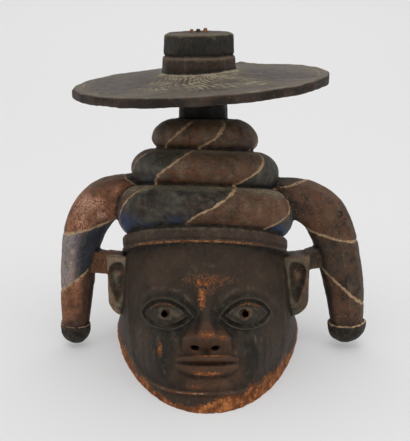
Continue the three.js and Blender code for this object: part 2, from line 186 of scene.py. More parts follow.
# Where the line round the face runs, and its width, on the scale of face_edge.
FACE_BORDER = 1.05
FACE_BORDER_WIDTH = 0.06
EYE_LEVEL = 0.528
EYE_HALF_SPACING = 40
EYE_HALF_LENGTH = 20
EYE_HALF_HEIGHT = 9.8
EYE_SLANT = 3
EYE_BULGE = 9.5
PUPIL_RADIUS = 5.5
# Depth below the face plane and radius, from the mouth of a pupil inwards.
PUPIL_WIDENING = ((-25, 2.6), (3, 1.3), (6, 1.1), (11, 0.6), (45, 0.4))
PUPIL_PROFILE = [(depth, PUPIL_RADIUS * share) for depth, share in PUPIL_WIDENING]
NOSE_TIP_LEVEL = 0.36
NOSE_ROOT_LEVEL = 0.6
NOSE_HEIGHT = 19
NOSE_HALF_WIDTH = 24
NOSTRIL_RADIUS = 2.9
NOSTRIL_HALF_SPACING = 9.5
NOSTRIL_LEVEL = 0.318
MOUTH_LEVEL = 0.18
MOUTH_HALF_WIDTH = 31
LIP_HEIGHT = 6.5
CHEEK_MARKS = (50, 56.5, 63)

# Painted lines that wind up the coils: angles at the foot of the lowest coil, and the turn per coil.
STRIPES = (-88, -15, 46, 112, 172, 227)
STRIPE_TURN = 39
STRIPE_SLANT = 0.64
LINE_DEPTH = 0.9
LINE_HALF_WIDTH = 1.2
LINE_REACH = 8.0


def srgb(red, green, blue):
    """A colour given as it looks on a screen, from 0 to 255, as linear light."""
    shares = np.array([red, green, blue]) / 255
    return np.where(shares <= 0.04045, shares / 12.92, ((shares + 0.055) / 1.055) ** 2.4)


PATINA = srgb(61, 48, 37)
PATINA_DARK = srgb(45, 36, 28)
PATINA_GREEN = srgb(55, 54, 46)
MUZZLE_BROWN = srgb(76, 52, 36)
COIL_BROWN = srgb(82, 63, 48)
COIL_DARK = srgb(46, 46, 42)
BRIGHT_BLUE = srgb(36, 58, 88)
HORN_ORANGE = srgb(136, 90, 66)
HORN_PINK = srgb(178, 138, 116)
HORN_GREY = srgb(126, 117, 112)
HORN_BLUE = srgb(56, 62, 76)
HORN_BROWN = srgb(77, 57, 45)
HORN_BLACK = srgb(33, 30, 26)
BRIM_TOP = srgb(78, 69, 60)
BRIM_PATCH = srgb(66, 57, 55)
BRIM_EDGE = srgb(44, 36, 30)
CROWN_DARK = srgb(42, 40, 36)
CROWN_BROWN = srgb(60, 49, 42)
INSIDE_WOOD = srgb(96, 72, 52)
CREAM = srgb(192, 160, 124)
RAW_WOOD = srgb(208, 130, 72)
RAW_WOOD_DARK = srgb(118, 68, 38)
RUBBED = srgb(98, 65, 46)
FLECK = srgb(158, 120, 94)
DUST = srgb(104, 98, 82)
PALE_DUST = srgb(150, 138, 116)
# Near black, for the grime and the painted shade in the deepest hollows.
GRIME_AND_SHADE = srgb(26, 22, 19)

BUMP_STRENGTH = 0.8
BUMP_HEIGHT = 1.2


def smooth(low, high, x):
    t = np.clip((x - low) / (high - low), 0, 1)
    return t * t * (3 - 2 * t)


def lerp(a, b, t):
    return a + (b - a) * t


def dome(x, v, cx, cv, rx, rv, power=1.5):
    """A round swelling of height 1 with a centre and two half-widths."""
    return np.maximum(1 - ((x - cx) / rx) ** 2 - ((v - cv) / rv) ** 2, 0) ** power


def ridge(d, width):
    """A rounded ridge of height 1 across a distance."""
    return np.exp(-((d / width) ** 2))


def mix(a, b, share):
    return a + (b - a) * np.asarray(share)[..., None]


def coated(tone, *coats):
    """A colour under thin coats, each given as its colour and the share that it covers."""
    for colour, share in coats:
        tone = mix(tone, colour, share)
    return tone


def ripple(points, size, seed):
    """Smooth noise from -1 to 1, with bumps of about that size in millimetres."""
    place = points / size
    cell = np.floor(place).astype(int)
    share = place - cell
    share = share * share * (3 - 2 * share)
    cell -= cell.reshape(-1, 3).min(0)
    lattice = np.random.default_rng(SEED + seed).uniform(-1, 1, cell.reshape(-1, 3).max(0) + 2)
    total = np.zeros(points.shape[:-1])
    for corner in product((0, 1), repeat=3):
        weight = np.ones(points.shape[:-1])
        for axis in range(3):
            weight = weight * (share[..., axis] if corner[axis] else 1 - share[..., axis])
        total += weight * lattice[tuple((cell + corner)[..., axis] for axis in range(3))]
    return total


def scallops(points, size, seed):
    """Shallow gouge marks: the squared distance to the nearest of scattered centres, from 0 to about 1."""
    place = points / size
    cell = np.floor(place).astype(int)
    low = cell.reshape(-1, 3).min(0) - 1
    cells = cell.reshape(-1, 3).max(0) - low + 2
    centres = np.random.default_rng(SEED + seed).uniform(0, 1, (*cells, 3))
    nearest = np.full(points.shape[:-1], 9.0)
    for step in product((-1, 0, 1), repeat=3):
        there = cell + step
        centre = there + centres[tuple((there - low)[..., axis] for axis in range(3))]
        nearest = np.minimum(nearest, ((place - centre) ** 2).sum(-1))
    return nearest


# Lofts


def filled(value, rings):
    """A number, a colour or a grid of either, on every point of some rings."""
    value = np.asarray(value, float)
    size = value.shape[-1:] if value.ndim in (1, 3) else ()
    return np.broadcast_to(value, (*rings.shape[:2], *size))


def loft(*parts):
    """One form from parts that follow each other, each with its rings and the same kinds of paint."""
    joined = {
        name: np.concatenate([filled(part[name], part["rings"]) for part in parts]) for name in parts[0]
    }
    return Form(joined.pop("rings"), **joined)


class Form:
    """One closed loft of the block: its points, its faces and the paint on its points."""

    def __init__(self, rings, **paint):
        rows, columns, _ = rings.shape
        ends = np.stack([rings[0].mean(0), rings[-1].mean(0)])
        self.points = np.concatenate([rings.reshape(-1, 3), ends])
        low = rows * columns
        column = np.arange(columns)
        after = (column + 1) % columns
        row = np.arange(rows - 1)[:, None] * columns
        a, b = row + column, row + after
        c, d = b + columns, a + columns
        sides = [np.stack([a, b, c], -1).reshape(-1, 3), np.stack([a, c, d], -1).reshape(-1, 3)]
        first = np.stack([np.full(columns, low), after, column], -1)
        last = np.stack([np.full(columns, low + 1), low - columns + column, low - columns + after], -1)
        self.faces = np.concatenate([*sides, first, last])
        self.paint = {name: self.spread(value, rings) for name, value in {**PLAIN, **paint}.items()}
        if "grain" not in paint:
            self.paint["grain"] = self.points * UPRIGHT_GRAIN

    @staticmethod
    def spread(value, rings):
        full = np.concatenate(filled(value, rings))
        return np.concatenate([full, full[:1], full[-1:]])


# What a point carries where its form says nothing: bare patina, no line near, no wear, some dust.
PLAIN = dict(tone=PATINA, line=LINE_REACH, wear=0.0, dust=0.15, grain=np.zeros(3))
UPRIGHT_GRAIN = np.array([1, 1, 0.12])


def turn(x, y, tilt, roll):
    """Points of a level plane, leaning back by tilt and sideways by roll."""
    t, r = np.radians(tilt), np.radians(roll)
    lift = x * np.sin(r)
    return np.stack([x * np.cos(r), y * np.cos(t) + lift * np.sin(t), lift * np.cos(t) - y * np.sin(t)], -1)


def level(radius, z, x, tilt, roll, angles):
    ring = turn(radius * np.cos(angles), radius * np.sin(angles), tilt, roll)
    ring[..., 0] += x
    ring[..., 2] += z
    return ring


def steps_of(rows):
    """A table's columns, each upright, so that its numbers count along a loft."""
    return [np.array(column)[:, None] for column in zip(*rows)]


def around(count):
    return np.arange(count) / count * 2 * math.pi


def from_front(angles):
    """The same directions as angles from the front, from minus half a turn to half a turn."""
    return (angles + 1.5 * math.pi) % (2 * math.pi) - math.pi


def facets(angles, corners, softness):
    """The share of a circle's radius that is left where flats are cut between corner angles in degrees."""
    corners = np.radians(np.sort(corners))
    corners = np.concatenate([corners, corners[:1] + 2 * math.pi])
    place = (angles - corners[0]) % (2 * math.pi) + corners[0]
    index = np.clip(np.searchsorted(corners, place, "right") - 1, 0, len(corners) - 2)
    half = (corners[index + 1] - corners[index]) / 2
    flat = np.cos(half) / np.cos(place - corners[index] - half)
    return lerp(flat, 1, softness)


def uneven(sides, seed, jitter=0.25):
    """Corner angles in degrees, unevenly spaced as a blade leaves them."""
    step = 360 / sides
    shift = np.random.default_rng(SEED + seed).uniform(-jitter, jitter, sides)
    return np.arange(sides) * step + shift * step


# Head and face

FACE_NORMAL = np.array([0, -math.cos(math.radians(FACE_TILT)), math.sin(math.radians(FACE_TILT))])
FACE_UP = np.array([0, math.sin(math.radians(FACE_TILT)), math.cos(math.radians(FACE_TILT))])
FACE_FOOT = np.array([0, FACE_FOOT_Y, FACE_FOOT_Z])
EYE_V = EYE_LEVEL * FACE_HEIGHT
TIP_V = NOSE_TIP_LEVEL * FACE_HEIGHT
MOUTH_V = MOUTH_LEVEL * FACE_HEIGHT

# Worn patches on the face: strength, middle along x and v, two half-widths and the falling off. Those
# of one row add up, and elsewhere the strongest counts.
WORN_PATCHES = (
    ((0.5, 3, EYE_V + 32, 30, 7, 0.4), (0.42, -3, EYE_V + 24, 8, 8, 0.5)),
    ((0.9, -4, EYE_V + 13, 5, 13, 0.5),),
    ((0.72, 0, TIP_V + 1, 12, 5, 0.6), (0.7, 16, TIP_V - 1, 6, 4, 0.6)),
    ((0.85, -46, MOUTH_V + 17, 3, 9, 0.5), (0.7, -11, MOUTH_V - 21, 7, 3, 0.5)),
)


def almond(side, v):
    """Place in an eye: along it, up it, and the distance in millimetres from the line of its lids."""
    ex = (side - EYE_HALF_SPACING) / EYE_HALF_LENGTH
    ev = v - EYE_V - EYE_SLANT * ex
    power = np.where(ex > 0, 2.5, 1.9)
    reach = np.minimum(np.abs(ex), 1.8)
    slope = power * EYE_HALF_HEIGHT * np.minimum(reach, 1) ** (power - 1) / EYE_HALF_LENGTH
    return ex, ev, (np.abs(ev) - EYE_HALF_HEIGHT * (1 - reach**power)) / np.sqrt(1 + slope**2)


def eye_relief(side, v):
    ex, ev, gap = almond(side, v)
    socket = -5.5 * dome(ex, ev, 0, 0, 2.0, EYE_HALF_HEIGHT * 2.6, 1)
    ball = EYE_BULGE * dome(ex, ev, 0, 0, 0.96, EYE_HALF_HEIGHT, 0.75)
    lid = 2.2 * ridge(gap - 0.6, 1.1) - 2.0 * ridge(gap - 3.0, 1.3)
    rim = 4.2 * ridge(gap - 5.4, 1.25)
    brow = 3.4 * ridge(ev - EYE_HALF_HEIGHT - 14 + 6 * ex**2, 5) * smooth(2.0, 0.9, np.abs(ex))
    return socket + ball + lid + rim + brow


def nose_relief(side, v):
    along = (v - TIP_V) / ((NOSE_ROOT_LEVEL - NOSE_TIP_LEVEL) * FACE_HEIGHT)
    height = lerp(NOSE_HEIGHT, 4, np.clip(along, 0, 1) ** 0.85) * smooth(1.55, 0.9, along)
    flare = np.clip(1 - along / 0.8, 0, 1) ** 1.4
    bridge = np.exp(-((side / (7.5 + 5 * flare)) ** 2.8))
    wing_x = (side - lerp(5, 0.55 * NOSE_HALF_WIDTH, flare)) / lerp(5, 0.46 * NOSE_HALF_WIDTH, flare)
    wing = 0.62 * flare**0.5 * np.sqrt(np.maximum(0, 1 - wing_x**2))
    under = np.clip((v - TIP_V + 13) / 11.5, 0, 1)
    groove = dome(side, v, NOSE_HALF_WIDTH * 1.12, TIP_V - 1, 4.5, 13, 1)
    return height * np.maximum(bridge, wing) * under - 1.8 * groove


def mouth_relief(x, v):
    share = np.abs(x) / MOUTH_HALF_WIDTH
    full = np.maximum(0, 1 - share**2) ** 0.5
    place = (v - MOUTH_V - 2.4 * share**2) / (0.3 + 0.7 * full)
    bow = place + 0.8 * ridge(x, 3.5)
    upper = LIP_HEIGHT * full**0.7 * smooth(-0.6, 3.4, place) * smooth(9.8, 7.4, bow)
    lower = (LIP_HEIGHT + 1) * full**0.7 * smooth(0.6, -3.6, place) * smooth(-12, -8.4, place)
    line = -2.4 * full**0.5 * ridge(place, 1.2)
    border = -1.3 * full * (ridge(place - 11, 1.4) + ridge(place + 13.6, 1.8))
    corners = -3.6 * dome(np.abs(x), v, MOUTH_HALF_WIDTH + 8, MOUTH_V + 12, 11, 26, 1)
    muzzle = 9 * dome(x, v, 0, MOUTH_V + 3, MOUTH_HALF_WIDTH + 14, 34)
    philtrum = -1.2 * ridge(x, 2.6) * ridge(v - MOUTH_V - 12, 3)
    return muzzle + upper + lower + line + border + corners + philtrum


def cheek_marks(side, v):
    """Three upright cuts in each cheek."""
    cuts = sum(ridge(side - place - 0.08 * (v - 45), 1.4) for place in CHEEK_MARKS)
    return cuts * smooth(18, 28, v) * smooth(64, 52, v)


def face_relief(x, v):
    side = np.abs(x)
    forehead = 7 * dome(x, v, 0, 0.86 * FACE_HEIGHT, 78, 50)
    cheek = 3.5 * dome(side, v, 50, 0.33 * FACE_HEIGHT, 26, 30, 1)
    chin = 5 * dome(x, v, 0, 0.02 * FACE_HEIGHT, 28, 14, 1)
    features = eye_relief(side, v) + nose_relief(side, v) + mouth_relief(x, v)
    return forehead + cheek + chin + features - 0.9 * cheek_marks(side, v)


def face_edge(x, v):
    """FACE_BORDER on the middle of the line round the face, less inside it and more outside."""
    low = np.maximum(0.5 - v / FACE_HEIGHT, 0) / 0.5
    return np.abs(x / FACE_HALF_WIDTH) ** 2.6 + low**2.6


def carving(x, v):
    edge = face_edge(x, v)
    inside = smooth(FACE_BORDER, 0.8, edge)
    line = 3 * ridge((edge - FACE_BORDER) / FACE_BORDER_WIDTH, 1)
    line = line * smooth(FACE_HEIGHT, 0.8 * FACE_HEIGHT, v)
    return face_relief(x, v) * inside + line - 1.4 * inside


def head_points(s, angles, inset, carved):
    """The head's surface at shares s of the way up, with the face's own coordinates x and v there."""
    s, angles, inset = np.asarray(s)[:, None], angles[None, :], np.asarray(inset)[:, None]
    top_y = HEAD_TOP_RADIUS * math.cos(math.radians(BAND_TILT))
    top_z = HEAD_TOP_RADIUS * math.sin(math.radians(BAND_TILT))
    swell = np.sin(math.pi * s)
    lift = 4 * swell
    front = np.stack([lerp(-RIM_FRONT, -top_y, s) - 5 * swell, lerp(0, HEAD_TOP_Z + top_z, s) + lift], -1)
    back = np.stack([lerp(RIM_BACK, top_y, s) + 10 * swell, lerp(0, HEAD_TOP_Z - top_z, s) + lift], -1)
    axis = back - front
    length = np.linalg.norm(axis, axis=-1, keepdims=True)
    axis = axis / length
    length = length[..., 0]
    widest = lerp((RIM_WIDEST_Y + RIM_FRONT) / (RIM_FRONT + RIM_BACK), 0.5, smooth(0, 1.1, s)) * length
    half = lerp(RIM_HALF_WIDTH, HEAD_TOP_RADIUS, s**0.8) - inset
    c, w = np.cos(angles), np.sin(angles)
    side_power = lerp(1.68, 2.2, smooth(0, 0.4, s)) - 0.2 * smooth(0.75, 1, s)
    power = np.where(c > 0, side_power + lerp(0.28, 0, smooth(0, 0.4, s)) * c * c, 2)
    reach = np.where(c > 0, -(widest - inset), length - widest - inset)
    along = widest + reach * np.abs(c) ** (2 / power)
    offset = half * np.sign(w) * np.abs(w) ** (2 / power)
    flat = front + axis * along[..., None]
    points = np.stack([lerp(RIM_SHIFT_X, 0, s) + offset, flat[..., 0], flat[..., 1]], -1)
    v = (points - FACE_FOOT) @ FACE_UP
    if carved:
        fade = smooth(0, 0.25, c) * smooth(0, 0.05, s)
        points = points + FACE_NORMAL * (carving(offset, v) * fade)[..., None]
    return points, offset, v


def rim_wear(points, x):
    """Bare wood along the rim, in a strip of uneven height."""
    spread = smooth(-25, 50, x) * smooth(95, 70, x) + 0.5 * smooth(-30, -70, x)
    height = lerp(6, 18, spread) * (1 + 0.45 * ripple(points * [1, 1, 0.4], 17, 4))
    kept = smooth(0.2, 0.7, ripple(points * [1, 1, 0.5], 12, 5))
    return smooth(1.3, 0.6, points[..., 2] / height) * (0.92 - 0.25 * kept)


def face_wear(x, v, gap):
    """How worn the face is, and how pale the worn jaw and lips are."""
    side = np.abs(x)
    patches = [sum(strength * dome(x, v, *patch) for strength, *patch in row) for row in WORN_PATCHES]
    brow = 0.46 * dome(x - 0.7 * (v - EYE_V - 24), v, 9, EYE_V + 24, 5, 10, 0.5)
    jaw = 0.62 * ridge(face_edge(x, v) - FACE_BORDER, FACE_BORDER_WIDTH)
    jaw = jaw * smooth(18, 0, v) * smooth(12, -8, x)
    lips = 0.85 * ridge(v - MOUTH_V - 8.4, 1.5) * smooth(MOUTH_HALF_WIDTH, 14, side) * smooth(-18, -8, x)
    lips = lips + 0.85 * ridge(v - MOUTH_V + 9.5 - side**2 / 160, 2.2) * smooth(24, 8, side)
    lids = 0.95 * ridge(gap - 0.2, 1.2) * (v > EYE_V) * ridge(side - EYE_HALF_SPACING - 2, 13)
    worn = np.maximum.reduce([*patches, brow, jaw, lips, lids])
    return worn, np.clip(np.maximum(2.4 * jaw, 1.5 * lips), 0, 1)


def head_paint(points, x, v, angles):
    side = np.abs(x)
    front = np.cos(angles)[None, :] > 0.15
    _, _, gap = almond(side, v)
    eyes = dome(side, v, EYE_HALF_SPACING, EYE_V, 34, 22, 0.6)
    cheeks = dome(side, v, MOUTH_HALF_WIDTH + 12, MOUTH_V + 18, 17, 34, 0.8)
    hollows = np.clip(eyes + cheeks, 0, 1)
    muzzle = dome(x, v, 0, MOUTH_V - 2, MOUTH_HALF_WIDTH + 10, 34, 0.6)
    muzzle = np.maximum(muzzle, dome(x, v, 0, TIP_V, NOSE_HALF_WIDTH + 4, 16, 0.6))

    tone = 0.74 * mix(PATINA, PATINA_DARK, 0.35 + 0.4 * ripple(points, 26, 1) + 0.2 * ripple(points, 9, 2))
    tone = mix(tone, 0.8 * PATINA_GREEN, 0.5 * hollows * front)
    tone = tone * (1 - front * (0.35 * (gap < -1) + 0.4 * cheeks * (gap > 3)))[..., None]
    streaks = ripple(points * [1, 1, 0.1], 2.4, 6)
    tone = tone * (1 + front * streaks * (0.1 + 0.45 * cheeks))[..., None]
    worn, pale = face_wear(x, v, gap)
    return dict(
        tone=mix(tone, 0.8 * MUZZLE_BROWN, 0.75 * muzzle * front),
        line=lerp(LINE_REACH, 1.5, pale * front),
        wear=np.maximum.reduce([rim_wear(points, x), worn * front, 0.04 + 0 * x]),
        dust=0.05 + (0.12 * hollows - 0.16 * muzzle) * front,
    )


def head_columns(face, back):
    """Angles round the head, evenly spaced across the face."""
    across = np.linspace(-0.94, 0.94, face)
    near = np.sign(across) * np.arcsin(np.abs(across) ** 1.1)
    far = np.linspace(near[-1], 2 * math.pi - near[-1], back + 2)[1:-1]
    return np.concatenate([near, far])


def carve_head():
    columns = head_columns(*HEAD_COLUMNS)
    shares = np.linspace(1.03, 0, HEAD_ROWS)
    outer, x, v = head_points(shares, columns, np.zeros(len(shares)), True)
    paint = head_paint(outer, x, v, columns)
    levels = np.array([0, 2, 5, 10, 20, 30, 40, 50, 60, 68, 75, 81, 86, 90, 94, 98]) / 100
    insets = np.interp(levels, [0, 0.4, 0.6, 0.75, 0.86, 0.94, 0.98], [0, 0, 1, 5, 12, 26, 44]) + WALL
    insets[:2] -= (RIM_LAND, 1)
    inner, _, _ = head_points(levels, columns, insets, False)
    inside = dict(tone=mix(INSIDE_WOOD, PATINA_DARK, 0.35), line=LINE_REACH, wear=0.25, dust=0.3)
    return loft(dict(rings=outer, **paint), dict(rings=inner, **inside))


# Headdress


def stripe_gap(angles, turns, radius):
    """Distance to the nearest painted line, and which strip between two lines a point is in."""
    place = np.degrees(angles) - STRIPE_TURN * turns
    place = (place - STRIPES[0]) % 360 + STRIPES[0]
    edges = np.array([*STRIPES, STRIPES[0] + 360])
    index = np.clip(np.searchsorted(edges, place, "right") - 1, 0, len(STRIPES) - 1)
    nearest = np.minimum(np.abs(place - edges[index]), np.abs(edges[index + 1] - place))
    return np.radians(nearest) * radius * STRIPE_SLANT, index


def cloth_grain(rings, angles, turns):
    """Grain that runs round the headdress."""
    radius = np.hypot(rings[..., 0], rings[..., 1])
    return np.stack([angles * 9 + 0 * radius, turns * 50 + 0 * radius, radius], -1)


def carve_band(angles, front):
    share = np.linspace(0, 1, 18)[:, None]
    edge = BAND_RADIUS - HEAD_TOP_RADIUS
    round_off = edge * (0.35 * np.maximum(0, 1 - share / 0.1) ** 2 + np.maximum(0, share / 0.2 - 4) ** 2)
    radius = BAND_RADIUS - round_off + ridge(share - 0.12, 0.09) - ridge(share - 0.31, 0.07)
    rings = level(radius, HEAD_TOP_Z + BAND_HEIGHT * share, 0, BAND_TILT, BAND_ROLL, angles)
    worn = ridge(share - 0.12, 0.08) * smooth(1.05, 0.6, np.abs(front + 0.12))
    return dict(
        rings=rings,
        tone=0.85 * mix(PATINA, CROWN_BROWN, 0.5 + 0.5 * ripple(rings, 20, 3)),
        line=lerp(LINE_REACH, 1.2, np.clip(1.7 * worn, 0, 1)),
        wear=0.08 + 0.7 * worn,
        dust=0.04 + 0.2 * share**3,
        grain=cloth_grain(rings, angles, share * 0.3 - 0.6),
    )


def coil_paint(number, rings, share, strip, front):
    """Brown and dark strips by turns, blue low in the dark ones, with dust in the creases."""
    blotch, small = ripple(rings, 17, 20 + number), ripple(rings, 6, 30 + number)
    streak = ripple(rings * [1, 1, 0.22], 3.6, 36 + number)
    lowest = number == 0
    dark = ((strip + number) % 2 == 0) * (1.0 if number < 2 else 0.35)
    tone = coated(
        mix(COIL_BROWN, COIL_DARK, dark),
        (PATINA_DARK, np.clip(0.25 + 0.8 * blotch + 0.5 * small, 0, 0.9)),
        (DUST, np.clip(-0.5 * small - 0.3 * blotch, 0, 0.16)),
        (RUBBED, (1 - dark) * np.clip(0.1 + 0.9 * small + 0.4 * streak - 0.4 * share, 0, 0.7)),
    )
    blue = 0.8 * dark * smooth(-0.2, -0.85, share) * smooth(-0.2, 0.5, blotch + 0.5 * small)
    ends = smooth(0.75, 1.15, np.abs(front)) * smooth(0.4, -0.3, share) * lowest
    blue = np.clip(blue + 0.75 * ends * smooth(-0.3, 0.4, small + 0.5 * blotch), 0, 0.85)
    red = smooth(0.1, 0.9, front) * smooth(0.9, 0.3, np.abs(share)) * lowest
    by_horns = smooth(0.6, 1.0, np.abs(front)) * smooth(1.9, 1.5, np.abs(front)) * lowest
    settled = 0.05 + (0.5 - 0.3 * dark) * smooth(0.25, 1, share + 0.2 * blotch)
    settled = settled + 1.1 * smooth(0.5, 0.85, share + 0.16 * small) + 0.7 * smooth(-0.8, -0.97, share)
    return dict(
        tone=mix(tone * (0.93 - 0.5 * streak)[..., None], BRIGHT_BLUE, blue),
        wear=0.08 + 0.2 * (1 - dark) + 0.12 * red,
        dust=settled + 0.9 * by_horns * smooth(0.2, 0.75, share + 0.2 * small),
    )


def carve_coil(number, angles, front):
    coil = COILS[number]
    below = COILS[number - 1] if number else dict(tilt=BAND_TILT, roll=BAND_ROLL)
    share = np.linspace(-1, 1, 64)[:, None]
    angle = np.radians(CREASE_ANGLE) * share
    rise = np.sin(angle) / math.sin(math.radians(CREASE_ANGLE))
    up = (rise + 1) / 2
    reach = np.where(share < 0, coil["wide"] - coil["low"], coil["high"] - coil["wide"])
    section = np.where(share < 0, coil["inward"], coil["shoulder"])
    gap, strip = stripe_gap(front, number + up, coil["radius"])
    radius = coil["radius"] - section * (1 - np.cos(angle))
    radius = radius - LINE_DEPTH * ridge(gap, LINE_HALF_WIDTH) * np.cos(angle)
    leans = lerp(below["tilt"], coil["tilt"], up), lerp(below["roll"], coil["roll"], up)
    rings = level(radius, coil["wide"] + reach * rise * 0.98, 0, *leans, angles)
    paint = coil_paint(number, rings, share, strip, front)
    return dict(rings=rings, line=gap, grain=cloth_grain(rings, angles, number + up), **paint)


def carve_cloth():
    """The headband and the three coils."""
    angles = around(CLOTH_COLUMNS)
    front = from_front(angles)
    coils = [carve_coil(number, angles, front) for number in range(len(COILS))]
    return loft(carve_band(angles, front), *coils)


def carve_neck():
    angles = around(NECK_COLUMNS)
    share = np.linspace(0, 1, 24)[:, None]
    radius = NECK_RADIUS * lerp(1.04, 1, share) * facets(angles, uneven(NECK_SIDES, 30), 0.25)
    z = lerp(COILS[-1]["high"] - NECK_ROOT, BRIM_BOTTOM_Z + BRIM_THICKNESS / 2, share)
    tilt = lerp(COILS[-1]["tilt"], BRIM_TILT, share)
    rings = level(radius, z, NECK_SHIFT_X, tilt, BRIM_ROLL * share, angles)
    # Nearly black, with no dust: the shade under the brim is painted into the neck's colour.
    return Form(rings, tone=HORN_BLACK * 0.25, dust=-0.2)


def brim_strokes(x, y):
    """Distance to the strokes cut in the brim before the crown, and where they are."""
    radius = np.hypot(x, y)
    angle = np.degrees(np.arctan2(x, -y))
    wander = 2.2 * np.sin(radius / 8 + angle / 13) + 1.5 * np.sin(angle / 5)
    fan = np.abs((angle + wander - 0.3 * radius) % 5 - 2.5) * math.pi / 180 * radius
    cross = np.abs((radius + 0.6 * angle + 3 * np.sin(angle / 8)) % 14 - 7)
    cross = cross + 1.2 * (np.sin(angle / 3.1) > 0.1)
    field = smooth(44, 50, radius) * smooth(108, 92, radius - 0.12 * angle)
    field = field * smooth(54, 44, np.abs(angle - 1))
    return np.where(field > 0.05, np.minimum(fan, cross), LINE_REACH), field


def brim_level(radius, z, angles, shift=BRIM_SHIFT_X):
    return level(radius, z, shift, BRIM_TILT, BRIM_ROLL, angles)


def carve_brim():
    angles = around(BRIM_COLUMNS)
    edge = BRIM_RADIUS * facets(angles, uneven(BRIM_SIDES, 40), 0.1)
    top = BRIM_BOTTOM_Z + BRIM_THICKNESS

    share = np.linspace(0.15, 1, 26)[:, None]
    rings = brim_level(share * (edge - BRIM_BEVEL), BRIM_BOTTOM_Z, angles)
    underside = dict(rings=rings, tone=PATINA_DARK, wear=0.05, dust=0.05)

    share = np.linspace(0, 1, 9)[:, None]
    radius = edge - BRIM_BEVEL * np.abs(2 * share - 1) ** 6
    rings = brim_level(radius, lerp(BRIM_BOTTOM_Z, top, share), angles)
    tone = mix(0.5 * BRIM_EDGE, CROWN_BROWN, np.clip(0.1 + 0.6 * ripple(rings, 11, 41), 0, 1))
    wear = 0.08 + 0.12 * smooth(0.7, 1, share) + 0.12 * ripple(rings, 15, 42)
    side = dict(rings=rings, tone=tone, wear=wear, dust=-0.08)
    return loft(underside, side, carve_brim_top(angles, edge - BRIM_BEVEL, top))


def carve_brim_top(angles, edge, top):
    front = np.degrees(from_front(angles))
    share = np.linspace(0.006, 1, 110)[:, None]
    foot = CROWN_FOOT_RADIUS + 2
    radius = lerp(edge, foot, share)
    inward = edge - radius
    climb = BRIM_RISE * (0.72 * share + 0.28 * share**4)
    x, y = radius * np.cos(angles), radius * np.sin(angles)
    strokes, field = brim_strokes(x, y)
    arc = 0.5 * ridge(inward - 9 - 4 * np.sin(angles), 1.1) * (np.abs(np.abs(front) - 75) < 55)
    cut = 0.8 * ridge(strokes, 0.75) * field + arc
    lump = 2.4 * ridge(inward - 1.6, 2.5) * ridge(front - 160, 2.5)
    shift = lerp(BRIM_SHIFT_X, CROWN_SHIFT_X, share)
    rings = brim_level(radius, top + climb - cut + lump, angles, shift)

    spot = np.stack([x, y, 0 * x], -1)
    patch = dome(x, y, -72, -20, 42, 62, 0.4) + dome(x, y, 74, -30, 34, 48, 0.4)
    tone = 0.86 * mix(BRIM_TOP, BRIM_PATCH, np.clip(patch * (0.8 + 0.5 * ripple(spot, 12, 43)), 0, 1))
    tone = mix(tone, BRIM_EDGE, np.clip(0.7 * ripple(spot * [1, 3, 1], 14, 45), 0, 0.6))
    rim = smooth(2.1, -0.9, inward)
    by_crown = smooth(foot + 20, foot + 1, radius)
    dust = 0.26 + 0.3 * ripple(spot, 16, 44) - 0.26 * patch + by_crown - 0.2 * rim + 2.4 * arc
    dust = dust + 0.4 * ripple(spot * [0.3, 1, 1], 5, 46) + 1.3 * ridge(strokes, 0.8) * field
    return dict(rings=rings, tone=tone, wear=0.06 + 0.12 * rim, dust=dust)


def carve_crown():
    angles = around(CROWN_COLUMNS)
    foot = BRIM_BOTTOM_Z + BRIM_THICKNESS + BRIM_RISE - CROWN_ROOT
    height = CROWN_HEIGHT + CROWN_ROOT
    lower, upper = facets(angles, CROWN_LOWER_CORNERS, 0.35), facets(angles, CROWN_CORNERS, 0.12)
    top_radius = CROWN_TOP_RADIUS + CROWN_FLARE

    def rings(radius, share, tilt):
        return level(radius, foot + height * share, CROWN_SHIFT_X, tilt, CROWN_ROLL, angles)

    share = np.linspace(0, 0.93, 56)[:, None]
    radius = lerp(CROWN_FOOT_RADIUS + 1, top_radius, share) + 1.5 * np.maximum(0, 1 - share / 0.2) ** 2
    radius = radius - CROWN_GROOVE_DEPTH * ridge((share - CROWN_GROOVE) * height, 1.2)
    radius = radius * np.where(share < CROWN_GROOVE, lower, upper)
    tilt = lerp(2.5, CROWN_TILT + 1, np.minimum(1, share / CROWN_GROOVE))
    lip = ridge((share - CROWN_GROOVE + 0.05) * height, 1.1)
    wall = dict(
        rings=rings(radius, share, tilt),
        tone=0.85 * np.where((share > CROWN_GROOVE)[..., None], CROWN_DARK, CROWN_BROWN),
        wear=0.1 + 0.3 * lip,
        dust=-0.08 + 1.3 * np.maximum(np.clip(1.5 * lip, 0, 1), 0.7 * smooth(0.9, 0.93, share)),
    )

    # Share of the height, distance in from the edge, and dust.
    profile = [(0.95, 0.3, 1.0), (0.97, 2.0, 1.1), (0.985, 3.8, 0.7), (0.995, 5, 0.1), (0.99, 7, 0.05)]
    profile += [(0.98, top_radius - share * CROWN_TOP_RADIUS, 0.0) for share in np.linspace(0.78, 0.1, 12)]
    share, inset, dust = steps_of(profile)
    top = rings((top_radius - inset) * upper, share, CROWN_TILT + 1)
    # The top takes a darker copy of the lower wall's brown: painted shade on the face that the light from
    # above falls on.
    return loft(wall, dict(rings=top, tone=0.6 * CROWN_BROWN, wear=0.14, dust=dust))


def carve_stubs():
    """What is left of a finial on the crown: three broken pegs."""
    low = BRIM_BOTTOM_Z + BRIM_THICKNESS + BRIM_RISE + CROWN_HEIGHT - PEG_ROOT
    angles = around(PEG_COLUMNS)
    share = np.linspace(0, 1, 12)[:, None]
    forms = []
    for x, y, radius, height, bare in PEGS:
        girth = radius * lerp(1.1, 0.8, share) * (1 + 0.12 * np.sin(3 * angles + x))
        z = low + (height + 3) * share
        rings = level(girth, z, CROWN_SHIFT_X + x, 8 * share, x * share, angles) + [0, y, 0]
        tone = RAW_WOOD_DARK if bare else PATINA_DARK
        forms.append(Form(rings, tone=tone, wear=0.55 if bare else 0.0, dust=0.1))
    return forms


# Hanging cloth ends


